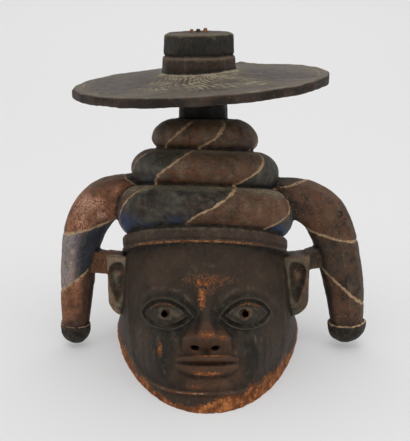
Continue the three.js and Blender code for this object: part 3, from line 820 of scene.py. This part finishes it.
def smooth_path(points, count):
    """Evenly counted points on a smooth curve through the given ones, and its directions."""
    knots = np.asarray(points, float)
    ends = np.concatenate([[2 * knots[0] - knots[1]], knots, [2 * knots[-1] - knots[-2]]])
    place = np.linspace(0, len(knots) - 1, count)
    index = np.minimum(place.astype(int), len(knots) - 2)
    t = (place - index)[:, None]
    a, b, c, d = (ends[index + step] for step in range(4))
    curve = 0.5 * (2 * b + (c - a) * t + (2 * a - 5 * b + 4 * c - d) * t**2 + (3 * b - a - 3 * c + d) * t**3)
    slope = np.gradient(curve, axis=0)
    return curve, slope / np.linalg.norm(slope, axis=1, keepdims=True), place


def horn_lines(lines, centre, points):
    """Distance to the nearest painted line of a hanging end, and the number of lines above a point."""
    gap = np.full(points.shape[:2], LINE_REACH)
    strip = np.zeros(points.shape[:2], int)
    rows = np.arange(len(centre))[:, None]
    for number, line in enumerate(lines):
        start, end = (np.array([x, HORN_PLANE_Y, z]) for x, z in line)
        run = (end - start) / math.dist(start, end)
        down = np.array([run[2], 0, -run[0]]) * np.sign(run[0])
        cut = (points - start) @ down
        row = np.argmin(np.linalg.norm(centre - (start + end) / 2, axis=1))
        near = np.abs(rows - row) < HORN_LINE_ROWS
        gap = np.where(near, np.minimum(gap, np.abs(cut) + 0.8 * (number == 0)), gap)
        strip += np.where(near, cut > 0, rows > row)
    return gap, strip


def right_horn_paint(strip, shares, facing, blotch, fine, inner):
    """Orange bands with pink patches, and a blue one that goes grey on the outside."""
    outward, forward, upward = facing
    orange, blue = strip % 2 == 1, strip == 2
    patches = 0.75 * ridge(shares - 0.33, 0.09) + 0.45 * blotch + 0.3 * fine
    pale = orange * smooth(0.35, 0.75, patches) * smooth(0.3, 0.7, forward)
    pale = pale + blue * smooth(0.3, 0.8, 0.8 * ridge(outward - 0.15, 0.35) + 0.3 * fine + 0.25 * blotch)
    limit = np.where(orange, -0.52, -0.1) + 0.2 * fine
    shadow = smooth(limit, limit - 0.25, outward - 0.35 * forward) * smooth(0.2, 0.4, shares)
    tip = smooth(0.86, 0.95, shares + 0.08 * blotch) * smooth(0.7, 0.3, outward)
    # Black over the painted shade on the side facing the head (inner, shadow), and over the tip by the knob
    # and the top.
    dark = np.maximum.reduce([inner, shadow, tip, 0.8 * smooth(0.55, 0.85, upward + 0.15 * fine)])
    tone = coated(
        np.asarray([PATINA_GREEN, HORN_ORANGE, HORN_BLUE, HORN_ORANGE])[strip],
        (HORN_GREY, 0.8 * blue * smooth(0.05, 0.5, outward + 0.35 * fine + 0.35 * blotch)),
        (HORN_PINK, np.clip(pale, 0, 1) * np.where(orange, 0.9, 0.2)),
        (RUBBED, orange * np.clip(-0.9 * blotch - 0.4 * fine + 0.2, 0, 0.9)),
        (HORN_BLACK, orange * np.clip(-1.3 * fine - 0.5 * blotch - 0.15, 0, 0.6)),
        (HORN_BLACK, np.where(orange, 0.84, 0.66) * dark),
    )
    return tone, np.where(orange, 0.38, 0.18) * (1 - dark) + 0.08 * fine


def left_horn_paint(strip, shares, facing, blotch, fine, inner):
    """Brown bands, the first with orange left on the side of the head, and a dark one."""
    outward, forward, _ = facing
    inner = inner * smooth(0, -0.2, outward + 0.66)
    orange_left = (strip == 1) * smooth(0.2, -0.45, outward) * smooth(0.3, 0.6, shares + 0.15 * blotch)
    tone = coated(
        np.asarray([PATINA_GREEN, HORN_BROWN, PATINA, HORN_BROWN])[strip],
        (COIL_DARK, np.clip((strip == 2) * smooth(0.1, 0.7, blotch) * forward, 0, 1)),
        (HORN_BLACK, np.clip(0.3 - 0.6 * blotch - 0.7 * fine, 0, 0.85)),
        (HORN_ORANGE, 0.6 * orange_left * (0.6 + 0.4 * fine)),
        # Painted shade on the side that faces the head.
        (HORN_BLACK, 0.9 * inner),
    )
    return tone, (np.where(strip == 2, 0.24, 0.32) + 0.2 * orange_left) * (1 - inner) + 0.06 * fine


HORN_PAINT = dict(right=right_horn_paint, left=left_horn_paint)


def carve_horn(name):
    horn = HORNS[name]
    side = horn["side"]
    path = [(side * x, HORN_PLANE_Y, z) for x, z in horn["points"]]
    centre, along, place = smooth_path(path, HORN_ROWS)
    radius = np.interp(place, range(len(horn["radii"])), horn["radii"])
    depth = np.array([0, 1, 0])
    across = np.cross(along, depth)[:, None]
    angles = around(HORN_COLUMNS)
    flats = facets(angles, uneven(9, 60 + side, 0.3), 0.4)
    spin = across * np.cos(angles)[:, None] + depth * (HORN_DEPTH_SHARE * np.sin(angles))[:, None]
    points = centre[:, None] + spin * (radius[:, None] * flats)[..., None]
    gap, strip = horn_lines(horn["lines"], centre, points)
    points = points - spin * (LINE_DEPTH * ridge(gap, LINE_HALF_WIDTH))[..., None]

    shares = np.linspace(0, 1, HORN_ROWS)[:, None] + 0 * angles
    facing = side * spin[..., 0], -spin[..., 1], spin[..., 2]
    blotch, fine = ripple(points, 13, 70 + side), ripple(points, 5, 72 + side)
    # Darker on the side that faces the head: painted shade between the hanging end and the head.
    inner = smooth(-0.5, -0.78, facing[0] + 0.1 * blotch) * smooth(0.15, 0.3, shares)
    tone, wear = HORN_PAINT[name](strip, shares, facing, blotch, fine, inner)
    grain = np.stack([shares * 30, angles * 20 + 0 * shares, 0 * shares], -1)
    return Form(points, tone=tone, line=gap, wear=wear, dust=0.05, grain=grain)


def carve_knob(name):
    horn = HORNS[name]
    side, radius, height = horn["side"], horn["knob_radius"], horn["knob_height"]
    x, z = horn["points"][-1]
    angles = around(HORN_COLUMNS)
    flats = facets(angles, uneven(9, 80 + side), 0.25)
    # Share of the radius, and the height above the tip of the hanging end.
    profile = [(0.05, 3.5), (0.6, 3.5), (0.92, 3.4), (0.985, 2.4), (1.0, 0.8), (0.99, -0.2 * height)]
    bend = np.radians(np.arange(18, 90, 7))
    profile += [(math.cos(a) ** 0.9, -height * (0.1 + 0.9 * math.sin(a))) for a in bend]
    share, rise = steps_of(profile)
    width = radius * share * np.where(share > 0.5, flats, 1)
    points = level(width, z + rise, side * x, 0, 3.5 * side, angles)
    points[..., 1] = HORN_PLANE_Y + points[..., 1] * HORN_DEPTH_SHARE
    tone = mix(0.45 * COIL_DARK, 0.55 * HORN_BLACK, np.clip(0.4 + 0.8 * ripple(points, 8, 82 + side), 0, 1))
    return Form(points, tone=tone, line=np.abs(rise - 2.6) + 0.5, wear=0.14, dust=-0.05)


# Ears and struts


def ear_outline(outer, low, high, count):
    """Points round an ear, straight above, with a rounded lobe below."""
    lobe = outer - EAR_LOBE_WIDTH
    arc = np.radians(np.linspace(-90, 0, 24))
    corners = [(lobe + EAR_LOBE_WIDTH * math.cos(a), low + EAR_LOBE_WIDTH * (1 + math.sin(a))) for a in arc]
    corners += [(outer, high), (EAR_INNER_X, high - 3), (EAR_INNER_X, low)]
    line = np.array([*corners, corners[0]])
    length = np.concatenate([[0], np.cumsum(np.linalg.norm(np.diff(line, axis=0), axis=1))])
    place = np.arange(count) / count * length[-1]
    return np.stack([np.interp(place, length, line[:, axis]) for axis in range(2)], -1)


def carve_ear(name):
    ear = EARS[name]
    side, outer = ear["side"], ear["outer"]
    middle = np.array([(EAR_INNER_X + outer) / 2 + 3, EAR_HOLLOW_Z])
    away = ear_outline(outer, EAR_LOW_Z, EAR_HIGH_Z, EAR_COLUMNS) - middle
    heading = np.arctan2(away[:, 1], away[:, 0])
    half_height = np.where(away[:, 1] > 0, EAR_HOLLOW_ABOVE, EAR_HOLLOW_BELOW)
    bowl = np.stack([EAR_HOLLOW_HALF_WIDTH * np.cos(heading), half_height * np.sin(heading)], -1)
    bowl *= (1 + 0.13 * np.sin(3 * heading + 0.6))[:, None]
    inward = smooth(0.3, -0.5, np.cos(heading))
    # How far out from the hollow's edge, the share of the hollow's size, the depth, and the helix.
    steps = [
        (0.05, 1, EAR_DEPTH, 0), (1, 1, EAR_DEPTH, 0), (1, 1, 3, 0), (0.97, 1, 0.8, 0), (0.9, 1, 0, 0),
        (0.6, 1, 0.3, 0.2), (0.35, 1, 0.1, 0.8), (0.15, 1, 0, 1), (0, 1, 1.2, 0.6),
        (0, 0.86, 2.4, 0), (0, 0.66, 3.4, 0), (0, 0.4, 3.2, 0), (0, 0.1, 2.2, 0),
    ]
    outward, share, depth, helix = steps_of(steps)
    flat = middle + lerp(bowl * share[..., None], away, outward[..., None])
    y = EAR_FRONT_Y + depth - 2 * helix * inward
    points = np.stack([side * flat[..., 0], y, flat[..., 1]], -1)

    order = np.arange(len(steps))[:, None]
    crest = ((order > 4) & (order < FIRST_HOLLOW_STEP)) * inward
    blotch = ripple(points, 9, 84 + side)
    body = mix(COIL_BROWN, PATINA_GREEN, np.clip(0.5 + 0.9 * blotch, 0, 1))
    # Painted light: colours raised against the shade between head and hanging end, the right ear's most.
    hollow = mix(COIL_BROWN, PATINA_GREEN, np.clip(0.3 - 1.2 * blotch, 0, 1)) * 1.5
    painted_ear_light = 1.7 if side < 0 else 1
    in_hollow = (order >= FIRST_HOLLOW_STEP)[..., None]
    tone = painted_ear_light * mix(np.where(in_hollow, hollow, 1.7 * body), DUST, 0.6 * crest)
    return Form(points, tone=tone, wear=0.24 + 0.12 * blotch, dust=0.12 - 0.2 * blotch + 0.4 * crest)


def carve_strut(name):
    ear = EARS[name]
    side, right = ear["side"], name == "right"
    angles = around(STRUT_COLUMNS)
    square = np.maximum(np.abs(np.cos(angles)), np.abs(np.sin(angles)))
    share = np.linspace(0, 1, 30)[:, None]
    low, high = lerp(*ear["low"], share), lerp(*ear["high"], share)
    x = lerp(ear["outer"] - STRUT_ROOT, STRUT_OUTER_X, share)
    y = EAR_FRONT_Y + STRUT_SETBACK + STRUT_DEPTH / 2 + STRUT_DEPTH / 2 * np.cos(angles) / square
    z = (low + high) / 2 + (high - low) / 2 * np.sin(angles) / square
    points = np.stack([side * x + 0 * z, y + 0 * z, z], -1)
    rough = ripple(points, 6, 86 + side)
    tone = mix(COIL_BROWN, RAW_WOOD_DARK, 0.3) if right else mix(PATINA, PATINA_GREEN, 0.3)
    tone = mix(tone, HORN_BLACK, np.clip(0.9 * rough, 0, 0.8))
    return Form(points, tone=tone, wear=(0.5 if right else 0.16) - 0.3 * rough, dust=0.04)


# Fusing the block


def new_mesh(name, points, faces):
    mesh = bpy.data.meshes.new(name)
    mesh.from_pydata(points, [], faces)
    mesh.validate()
    item = bpy.data.objects.new(name, mesh)
    bpy.context.collection.objects.link(item)
    return item


def apply_modifiers(item):
    graph = bpy.context.evaluated_depsgraph_get()
    mesh = bpy.data.meshes.new_from_object(item.evaluated_get(graph))
    old = item.data
    item.modifiers.clear()
    item.data = mesh
    bpy.data.meshes.remove(old)


def vertices_of(item, values="co"):
    """The places of a mesh's points, or their normals."""
    numbers = np.empty(len(item.data.vertices) * 3, np.float32)
    item.data.vertices.foreach_get(values, numbers)
    return numbers.reshape(-1, 3).astype(float)


def move_vertices(item, points):
    item.data.vertices.foreach_set("co", points.astype(np.float32).ravel())
    item.data.update()


def face_point(x, share, height):
    return np.array([x, 0, 0]) + FACE_FOOT + FACE_UP * share * FACE_HEIGHT + FACE_NORMAL * height


def together(parts):
    """The points and the faces of several meshes as one."""
    starts = np.cumsum([0] + [len(points) for points, _ in parts])
    faces = [faces + start for (_, faces), start in zip(parts, starts)]
    return np.concatenate([points for points, _ in parts]), np.concatenate(faces)


def drills():
    """Round cutters for the pupils, wider at the mouth, and for the nostrils."""
    cutters = []
    angles = around(28)
    u = np.array([1, 0, 0])
    upward = -FACE_NORMAL + 0.55 * FACE_UP
    nostril_profile = ((-20, NOSTRIL_RADIUS), (45, NOSTRIL_RADIUS))
    for side in (-1, 1):
        eye = face_point(side * EYE_HALF_SPACING, EYE_LEVEL, 0)
        nostril = face_point(side * NOSTRIL_HALF_SPACING, NOSTRIL_LEVEL, 0)
        holes = (
            (eye, -FACE_NORMAL, PUPIL_PROFILE, 1),
            (nostril, upward / np.linalg.norm(upward), nostril_profile, 1.5),
        )
        for middle, direction, profile, wide in holes:
            w = np.cross(direction, u)
            circle = wide * np.cos(angles)[:, None] * u + np.sin(angles)[:, None] * w
            rings = [middle + direction * depth + radius * circle for depth, radius in profile]
            form = Form(np.stack(rings))
            cutters.append((form.points, form.faces))
    return together(cutters)


def pierce(head):
    """The head with its pupils and nostrils cut through."""
    block = new_mesh("head_block", head.points, head.faces)
    cutter = new_mesh("head_drills", *drills())
    cut = block.modifiers.new("cut", "BOOLEAN")
    cut.operation = "DIFFERENCE"
    cut.solver = "EXACT"
    cut.object = cutter
    apply_modifiers(block)
    block.data.calc_loop_triangles()
    faces = np.empty(len(block.data.loop_triangles) * 3, np.int32)
    block.data.loop_triangles.foreach_get("vertices", faces)
    points = vertices_of(block)
    for item in (block, cutter):
        bpy.data.meshes.remove(item.data)
    return points, faces.reshape(-1, 3)


def fuse(forms):
    """One skin round all the forms, with tool marks, within the triangle budget."""
    head, *rest = forms
    parts = [pierce(head), *((form.points, form.faces) for form in rest)]
    block = new_mesh("carved_mask", *together(parts))
    remesh = block.modifiers.new("fuse", "REMESH")
    remesh.mode = "VOXEL"
    remesh.voxel_size = VOXEL
    relax = block.modifiers.new("relax", "SMOOTH")
    relax.factor = 0.5
    relax.iterations = 2
    apply_modifiers(block)
    mark_tools(block)
    triangles = sum(len(face.vertices) - 2 for face in block.data.polygons)
    thin = block.modifiers.new("thin", "DECIMATE")
    thin.ratio = min(1, TRIANGLES / triangles)
    apply_modifiers(block)
    keep_skin(block)
    return block


def keep_skin(block):
    """Drops the crumbs that the remesh leaves inside the wood, where two forms just miss each other."""
    mesh = bmesh.new()
    mesh.from_mesh(block.data)
    start = max(mesh.verts, key=lambda vertex: vertex.co.z)
    skin, unvisited = {start}, [start]
    while unvisited:
        vertex = unvisited.pop()
        reached = [other for edge in vertex.link_edges if (other := edge.other_vert(vertex)) not in skin]
        skin.update(reached)
        unvisited += reached
    crumbs = [vertex for vertex in mesh.verts if vertex not in skin]
    bmesh.ops.delete(mesh, geom=crumbs, context="VERTS")
    mesh.to_mesh(block.data)
    mesh.free()


def mark_tools(block):
    """Small hand-cut unevenness: long soft waves, gouge marks, and small pits."""
    points, normals = vertices_of(block), vertices_of(block, "normal")
    face_place = (points - FACE_FOOT) @ FACE_NORMAL
    up = (points - FACE_FOOT) @ FACE_UP
    on_face = smooth(-45, -15, face_place) * smooth(-5, 10, up) * smooth(150, 135, up)
    on_face = on_face * smooth(88, 76, np.abs(points[:, 0]))
    calm = 1 - 0.7 * on_face
    waves = 0.35 * ripple(points, 24, 90) + 0.18 * ripple(points, 9, 91) * calm
    waves = waves + 0.06 * ripple(points, 3, 92)
    marks = -0.35 * (1 - np.minimum(1, scallops(points, 8.5, 93) * 1.8)) * calm
    pits = -0.3 * smooth(0.62, 0.85, ripple(points, 4, 94))
    points += normals * (waves + marks + pits)[:, None]
    points[:, 2] = np.maximum(points[:, 2], 0)
    move_vertices(block, points)


def smoothed(block, points, rounds):
    """The points after each has moved to the middle of its neighbours a number of times."""
    edges = np.empty(len(block.data.edges) * 2, np.int32)
    block.data.edges.foreach_get("vertices", edges)
    a, b = edges.reshape(-1, 2).T
    count = len(points)
    shared = np.bincount(a, minlength=count) + np.bincount(b, minlength=count)
    for _ in range(rounds):
        total = [np.bincount(a, place[b], count) + np.bincount(b, place[a], count) for place in points.T]
        points = np.stack(total, -1) / np.maximum(shared, 1)[:, None]
    return points


def in_pupils(points):
    """How worn the bored pupils are inside: ruddy all round, and bare on the outer side of the left one."""
    worn = np.zeros(len(points))
    for side in (-1, 1):
        away = points - face_point(side * EYE_HALF_SPACING, EYE_LEVEL, 0)
        depth = -(away @ FACE_NORMAL)
        radius = np.linalg.norm(away + depth[:, None] * FACE_NORMAL, axis=1)
        bore = np.interp(depth, *zip(*PUPIL_PROFILE))
        inside = (radius < bore + 0.5) * (depth > -10) * (depth < 30)
        bare = smooth(-1, 2.5, away[:, 0]) * (side > 0)
        worn += inside * (0.4 + 0.5 * bare)
    return worn


def carry_paint(block, forms):
    """Each point of the skin takes its paint from the three nearest points of the forms."""
    sources = np.concatenate([form.points for form in forms])
    fields = {name: np.concatenate([form.paint[name] for form in forms]) for name in PLAIN}
    tree = kdtree.KDTree(len(sources))
    for index, point in enumerate(sources.tolist()):
        tree.insert(point, index)
    tree.balance()
    points, normals = vertices_of(block), vertices_of(block, "normal")
    found = [tree.find_n(point, 3) for point in points.tolist()]
    index = np.array([[hit[1] for hit in hits] for hits in found])
    weight = 1 / (np.array([[hit[2] for hit in hits] for hits in found]) + 0.05)
    weight /= weight.sum(1, keepdims=True)
    painted = {
        name: (values[index] * (weight[..., None] if values.ndim == 2 else weight)).sum(1)
        for name, values in fields.items()
    }
    pupils = in_pupils(points)
    painted["wear"] = np.maximum(painted["wear"] * (pupils == 0), pupils)
    # Hollows and ridges of the skin: the material lays dust and wear by them, and paints shade into the
    # hollows and highlights onto the ridges.
    rounds = FINE_ROUNDS, BROAD_ROUNDS
    fine, broad = (((smoothed(block, points, count) - points) * normals).sum(1) for count in rounds)
    painted["cavity"] = np.clip(fine / FINE_DEPTH, -1, 1) * 0.5 + np.clip(broad / BROAD_DEPTH, -1, 1) * 0.5
    painted["edge"] = np.clip(-fine / EDGE_HEIGHT, 0, 1)
    for name, values in painted.items():
        wide = values.ndim == 2
        layer = block.data.attributes.new(name, "FLOAT_VECTOR" if wide else "FLOAT", "POINT")
        layer.data.foreach_set("vector" if wide else "value", values.astype(np.float32).ravel())


# Material


class Nodes:
    """Short calls for building a material's nodes."""

    def __init__(self, name):
        self.material = bpy.data.materials.new(name)
        self.material.use_nodes = True
        self.tree = self.material.node_tree
        self.tree.nodes.clear()

    def add(self, kind, **settings):
        node = self.tree.nodes.new(kind)
        for name, value in settings.items():
            setattr(node, name, value)
        return node

    def join(self, value, socket):
        if isinstance(value, bpy.types.NodeSocket):
            self.tree.links.new(value, socket)
        else:
            socket.default_value = value

    def math(self, operation, *values):
        node = self.add("ShaderNodeMath", operation=operation)
        for value, socket in zip(values, node.inputs):
            self.join(value, socket)
        return node.outputs[0]

    def times(self, a, b):
        return self.math("MULTIPLY", a, b)

    def total(self, value, *others):
        for other in others:
            value = self.math("ADD", value, other)
        return value

    def attribute(self, name, output="Fac"):
        return self.add("ShaderNodeAttribute", attribute_name=name).outputs[output]

    def noise(self, vector, scale, detail=4, roughness=0.55, distortion=0.0):
        node = self.add("ShaderNodeTexNoise")
        values = dict(Vector=vector, Scale=scale, Detail=detail, Roughness=roughness, Distortion=distortion)
        for name, value in values.items():
            self.join(value, node.inputs[name])
        return node.outputs["Fac"]

    def ramp(self, value, low, high, out_low=0.0, out_high=1.0, kind="SMOOTHSTEP"):
        node = self.add("ShaderNodeMapRange", interpolation_type=kind)
        for item, socket in zip((value, low, high, out_low, out_high), node.inputs):
            self.join(item, socket)
        return node.outputs[0]

    def linear(self, value, low, high, out_low, out_high):
        return self.ramp(value, low, high, out_low, out_high, "LINEAR")

    def blend(self, share, a, b, kind="MIX"):
        node = self.add("ShaderNodeMix", data_type="RGBA", blend_type=kind)
        for item, socket in ((share, node.inputs[0]), (a, node.inputs[6]), (b, node.inputs[7])):
            self.join(item, socket)
        return node.outputs[2]

    def surface(self, inputs):
        """The material, once a principled shader with these inputs is its surface."""
        shader = self.add("ShaderNodeBsdfPrincipled")
        for name, value in inputs.items():
            self.join(value, shader.inputs[name])
        out = self.add("ShaderNodeOutputMaterial")
        self.join(shader.outputs[0], out.inputs["Surface"])
        return self.material


def rgba(colour):
    return (*colour, 1.0)


def carved_wood():
    """Patina with dust and painted shade in its hollows, paint in the cut lines, and bare wood where it is
    worn.
    """
    n = Nodes("carved_wood")
    tone, grain = n.attribute("tone", "Color"), n.attribute("grain", "Vector")
    wear, dust, line = n.attribute("wear"), n.attribute("dust"), n.attribute("line")
    cavity, edge = n.attribute("cavity"), n.attribute("edge")
    place = n.add("ShaderNodeTexCoord").outputs["Object"]

    broad = n.noise(place, 28, 3)
    spots = n.noise(place, 170, 5, 0.65)
    specks = n.noise(place, 650, 3, 0.6)
    fibre = n.noise(grain, 0.55, 6, 0.7, 0.15)
    threads = n.noise(grain, 1.7, 4, 0.65)
    flakes = n.noise(place, 100, 5, 0.7)

    shallow = n.linear(wear, 0.04, 0.34, 0.84, 0.5)
    bold = n.linear(wear, 0.04, 0.34, 1.16, 1.62)
    mottle_and_shade = n.times(n.linear(broad, 0.3, 0.7, 0.78, 1.24), n.linear(spots, 0.3, 0.7, shallow, bold))
    mottle_and_shade = n.times(mottle_and_shade, n.linear(threads, 0.35, 0.65, 0.68, 1.34))
    # Lighter on the ridges and darker in the hollows of the skin: painted highlight and painted shade.
    mottle_and_shade = n.times(mottle_and_shade, n.linear(cavity, -0.6, 0.6, 1.5, 0.55))
    mottle_and_shade_colour = n.add("ShaderNodeCombineColor")
    for socket in mottle_and_shade_colour.inputs[:3]:
        n.join(mottle_and_shade, socket)
    colour = n.blend(1.0, tone, mottle_and_shade_colour.outputs[0], "MULTIPLY")

    settled = n.total(dust, n.linear(cavity, -0.5, 0.8, -0.18, 0.3), n.linear(spots, 0.35, 0.7, -0.3, 0.32))
    dusty = n.ramp(settled, 0.12, 0.95)
    colour = n.blend(n.times(dusty, 0.75), colour, rgba(DUST))
    # Near black in the deepest hollows, less where dust lies: grime there, and painted shade.
    grime_and_shade = n.times(n.ramp(cavity, 0.4, 0.9), n.ramp(dust, 0.2, 0.7, 1.0, 0.25))
    colour = n.blend(n.times(grime_and_shade, 0.6), colour, rgba(GRIME_AND_SHADE))
    colour = n.blend(n.ramp(settled, 1.0, 1.5, 0.0, 0.8), colour, rgba(PALE_DUST))
    # Pale dust along sharp ridges, which also serves as a painted highlight on them.
    crest = n.ramp(n.total(edge, n.linear(spots, 0.3, 0.7, -0.3, 0.3)), 0.45, 1.0)
    colour = n.blend(n.times(crest, n.ramp(dust, -0.1, 0.05, 0.0, 0.5)), colour, rgba(DUST))

    lined = n.ramp(n.total(line, n.linear(spots, 0.3, 0.7, -0.9, 1.3)), 1.0, 2.1, 1.0, 0.0)
    faded = n.ramp(broad, 0.28, 0.5, 0.4, 0.95)
    cream = n.blend(n.ramp(specks, 0.35, 0.7), rgba(CREAM), rgba(CREAM * 0.65))
    colour = n.blend(n.times(lined, faded), colour, cream)

    bare = n.total(
        wear,
        n.linear(spots, 0.25, 0.75, -0.36, 0.36),
        n.linear(fibre, 0.3, 0.7, -0.1, 0.1),
        n.linear(specks, 0.3, 0.7, -0.34, 0.34),
        n.linear(cavity, -0.6, 0.3, 0.14, -0.02),
    )
    colour = n.blend(n.times(n.ramp(bare, 0.36, 0.6), 0.5), colour, rgba(RUBBED))
    flecks = n.total(specks, n.linear(wear, 0.1, 0.4, -0.12, 0.0))
    colour = n.blend(n.ramp(flecks, 0.55, 0.64, 0.0, 0.65), colour, rgba(FLECK))
    raw = n.ramp(bare, 0.64, 0.78)
    streaks = n.total(n.times(fibre, 0.35), n.times(flakes, 0.65))
    wood = n.blend(n.ramp(streaks, 0.38, 0.62), rgba(RAW_WOOD_DARK), rgba(RAW_WOOD))
    wood = n.blend(n.ramp(spots, 0.41, 0.58, 0.0, 0.8), wood, rgba(RAW_WOOD_DARK * 0.5))
    colour = n.blend(n.times(raw, 0.9), colour, wood)

    height = n.total(n.times(spots, 0.7), n.times(threads, 0.5))
    bump = n.add("ShaderNodeBump")
    n.join(BUMP_STRENGTH, bump.inputs["Strength"])
    n.join(BUMP_HEIGHT * MM, bump.inputs["Distance"])
    n.join(n.math("SUBTRACT", height, n.times(raw, 0.35)), bump.inputs["Height"])
    matt = n.times(n.math("MAXIMUM", raw, dusty), 0.2)
    return n.surface({
        "Base Color": colour,
        "Roughness": n.total(n.linear(spots, 0.3, 0.7, 0.46, 0.7), matt),
        "Specular IOR Level": 0.2,
        "Normal": bump.outputs["Normal"],
    })


def rim_share(n):
    """On the floor: 0 under the middle of the mask, 1 on the outline of its rim."""
    place = n.add("ShaderNodeSeparateXYZ")
    n.join(n.add("ShaderNodeTexCoord").outputs["Object"], place.inputs[0])
    x, y, _ = (carver_shift() + [RIM_SHIFT_X, RIM_WIDEST_Y, 0]) * MM
    aside = n.math("ABSOLUTE", n.math("SUBTRACT", place.outputs[0], x))
    across = n.math("DIVIDE", aside, RIM_HALF_WIDTH * MM)
    along = n.math("SUBTRACT", place.outputs[1], y)
    forward = n.math("DIVIDE", along, -(RIM_FRONT + RIM_WIDEST_Y) * MM)
    backward = n.math("DIVIDE", along, (RIM_BACK - RIM_WIDEST_Y) * MM)
    reach = n.math("MAXIMUM", forward, backward)
    return n.total(n.math("POWER", across, 1.75), n.math("POWER", reach, 1.75))


def paper_with_painted_light():
    n = Nodes("paper_with_painted_light")
    return n.surface({
        "Base Color": PAPER_GREY,
        "Roughness": 0.95,
        "Specular IOR Level": 0.1,
        # Painted light: the paper glows from the mask's rim outwards, which lightens the mask's shadows on
        # it.
        "Emission Color": (1, 1, 1, 1),
        "Emission Strength": n.ramp(rim_share(n), 0.86, 0.97, 0.0, 0.28),
    })


# The mask itself


def carver_shift():
    """From the carver's frame to the part's: the rim's front, the ground and the right knob line up."""
    low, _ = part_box("mask")
    right = HORNS["right"]
    knob_x = -right["points"][-1][0] - right["knob_radius"]
    return np.array([low[0] / MM - knob_x, low[1] / MM + RIM_FRONT, low[2] / MM])


def build_mask():
    forms = [carve_head(), carve_cloth(), carve_neck(), carve_brim(), carve_crown(), *carve_stubs()]
    for name in HORNS:
        forms += [carve_horn(name), carve_knob(name), carve_ear(name), carve_strut(name)]
    mask = fuse(forms)
    carry_paint(mask, forms)
    points = vertices_of(mask)
    points[:, 2] = np.maximum(points[:, 2], 0)
    move_vertices(mask, (points + carver_shift()) * MM)
    mask.data.polygons.foreach_set("use_smooth", np.ones(len(mask.data.polygons), bool))
    mask.data.materials.clear()
    mask.data.materials.append(carved_wood())
    return mask


mask = build_mask()
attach(mask, "root")
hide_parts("mask")


# Floor, light and camera

CAMERA_DISTANCE = 1150
CAMERA_HEIGHT = 520
AIM_HEIGHT = 144
LENS = 93.9
SENSOR_WIDTH = 36
PAPER_GREY = (0.45, 0.45, 0.453, 1)
SKY_COLOUR = (1.0, 0.99, 0.98, 1)
SKY_STRENGTH = 0.52
# Place, aim, width and height in metres, and power in watts.
LIGHTS = dict(
    overhead_box=((0.05, -0.4, 2.1), (0, -0.2, 0.1), (2.4, 2.2), 30),
    backdrop_box=((0, 2.6, 2.3), (0, 2.8, 0), (3.4, 2.2), 34),
    left_box=((-1.6, -1.0, 1.1), (0, 0, 0.15), (1.0, 1.2), 3),
    right_box=((1.6, -1.0, 1.1), (0, 0, 0.15), (1.0, 1.2), 3),
)


def build_floor():
    """A sheet of grey paper that lies flat under the mask and curves up behind it, lightened by a painted
    glow.
    """
    half, near, far, bend, height = 3.0, -2.0, 3.0, 0.8, 3.0
    profile = [(near, 0), (far, 0)]
    angles = np.radians(np.arange(6, 91, 6))
    profile += [(far + bend * math.sin(a), bend * (1 - math.cos(a))) for a in angles]
    profile.append((far + bend, height))
    points = np.array([(x, y, z) for y, z in profile for x in (-half, half)])
    faces = []
    for row in range(len(profile) - 1):
        a = row * 2
        faces += [(a, a + 1, a + 3), (a, a + 3, a + 2)]
    paper = new_mesh("paper_floor", points, np.array(faces))
    paper.data.polygons.foreach_set("use_smooth", np.ones(len(faces), bool))
    paper.data.materials.append(paper_with_painted_light())
    return paper


def add_light(name, place, aim, size, power):
    light = bpy.data.lights.new(name, "AREA")
    light.shape = "RECTANGLE"
    light.size, light.size_y = size
    light.energy = power
    item = bpy.data.objects.new(name, light)
    item.location = place
    item.rotation_euler = (Vector(aim) - Vector(place)).to_track_quat("-Z", "Y").to_euler()
    bpy.context.collection.objects.link(item)


def build_light():
    world = bpy.data.worlds.new("studio")
    world.use_nodes = True
    background = world.node_tree.nodes["Background"]
    background.inputs["Color"].default_value = SKY_COLOUR
    background.inputs["Strength"].default_value = SKY_STRENGTH
    bpy.context.scene.world = world
    for name, values in LIGHTS.items():
        add_light(name, *values)


def build_camera():
    camera = bpy.data.cameras.new("camera")
    camera.lens = LENS
    camera.sensor_width = SENSOR_WIDTH
    camera.clip_start = 0.05
    item = bpy.data.objects.new("camera", camera)
    shift = carver_shift()
    item.location = (np.array([0, -CAMERA_DISTANCE, CAMERA_HEIGHT]) + shift) * MM
    aim = Vector((np.array([0, 0, AIM_HEIGHT]) + shift) * MM)
    item.rotation_euler = (aim - item.location).to_track_quat("-Z", "Y").to_euler()
    bpy.context.collection.objects.link(item)
    bpy.context.scene.camera = item


build_floor()
build_light()
build_camera()
bpy.context.scene.view_settings.view_transform = "Standard"
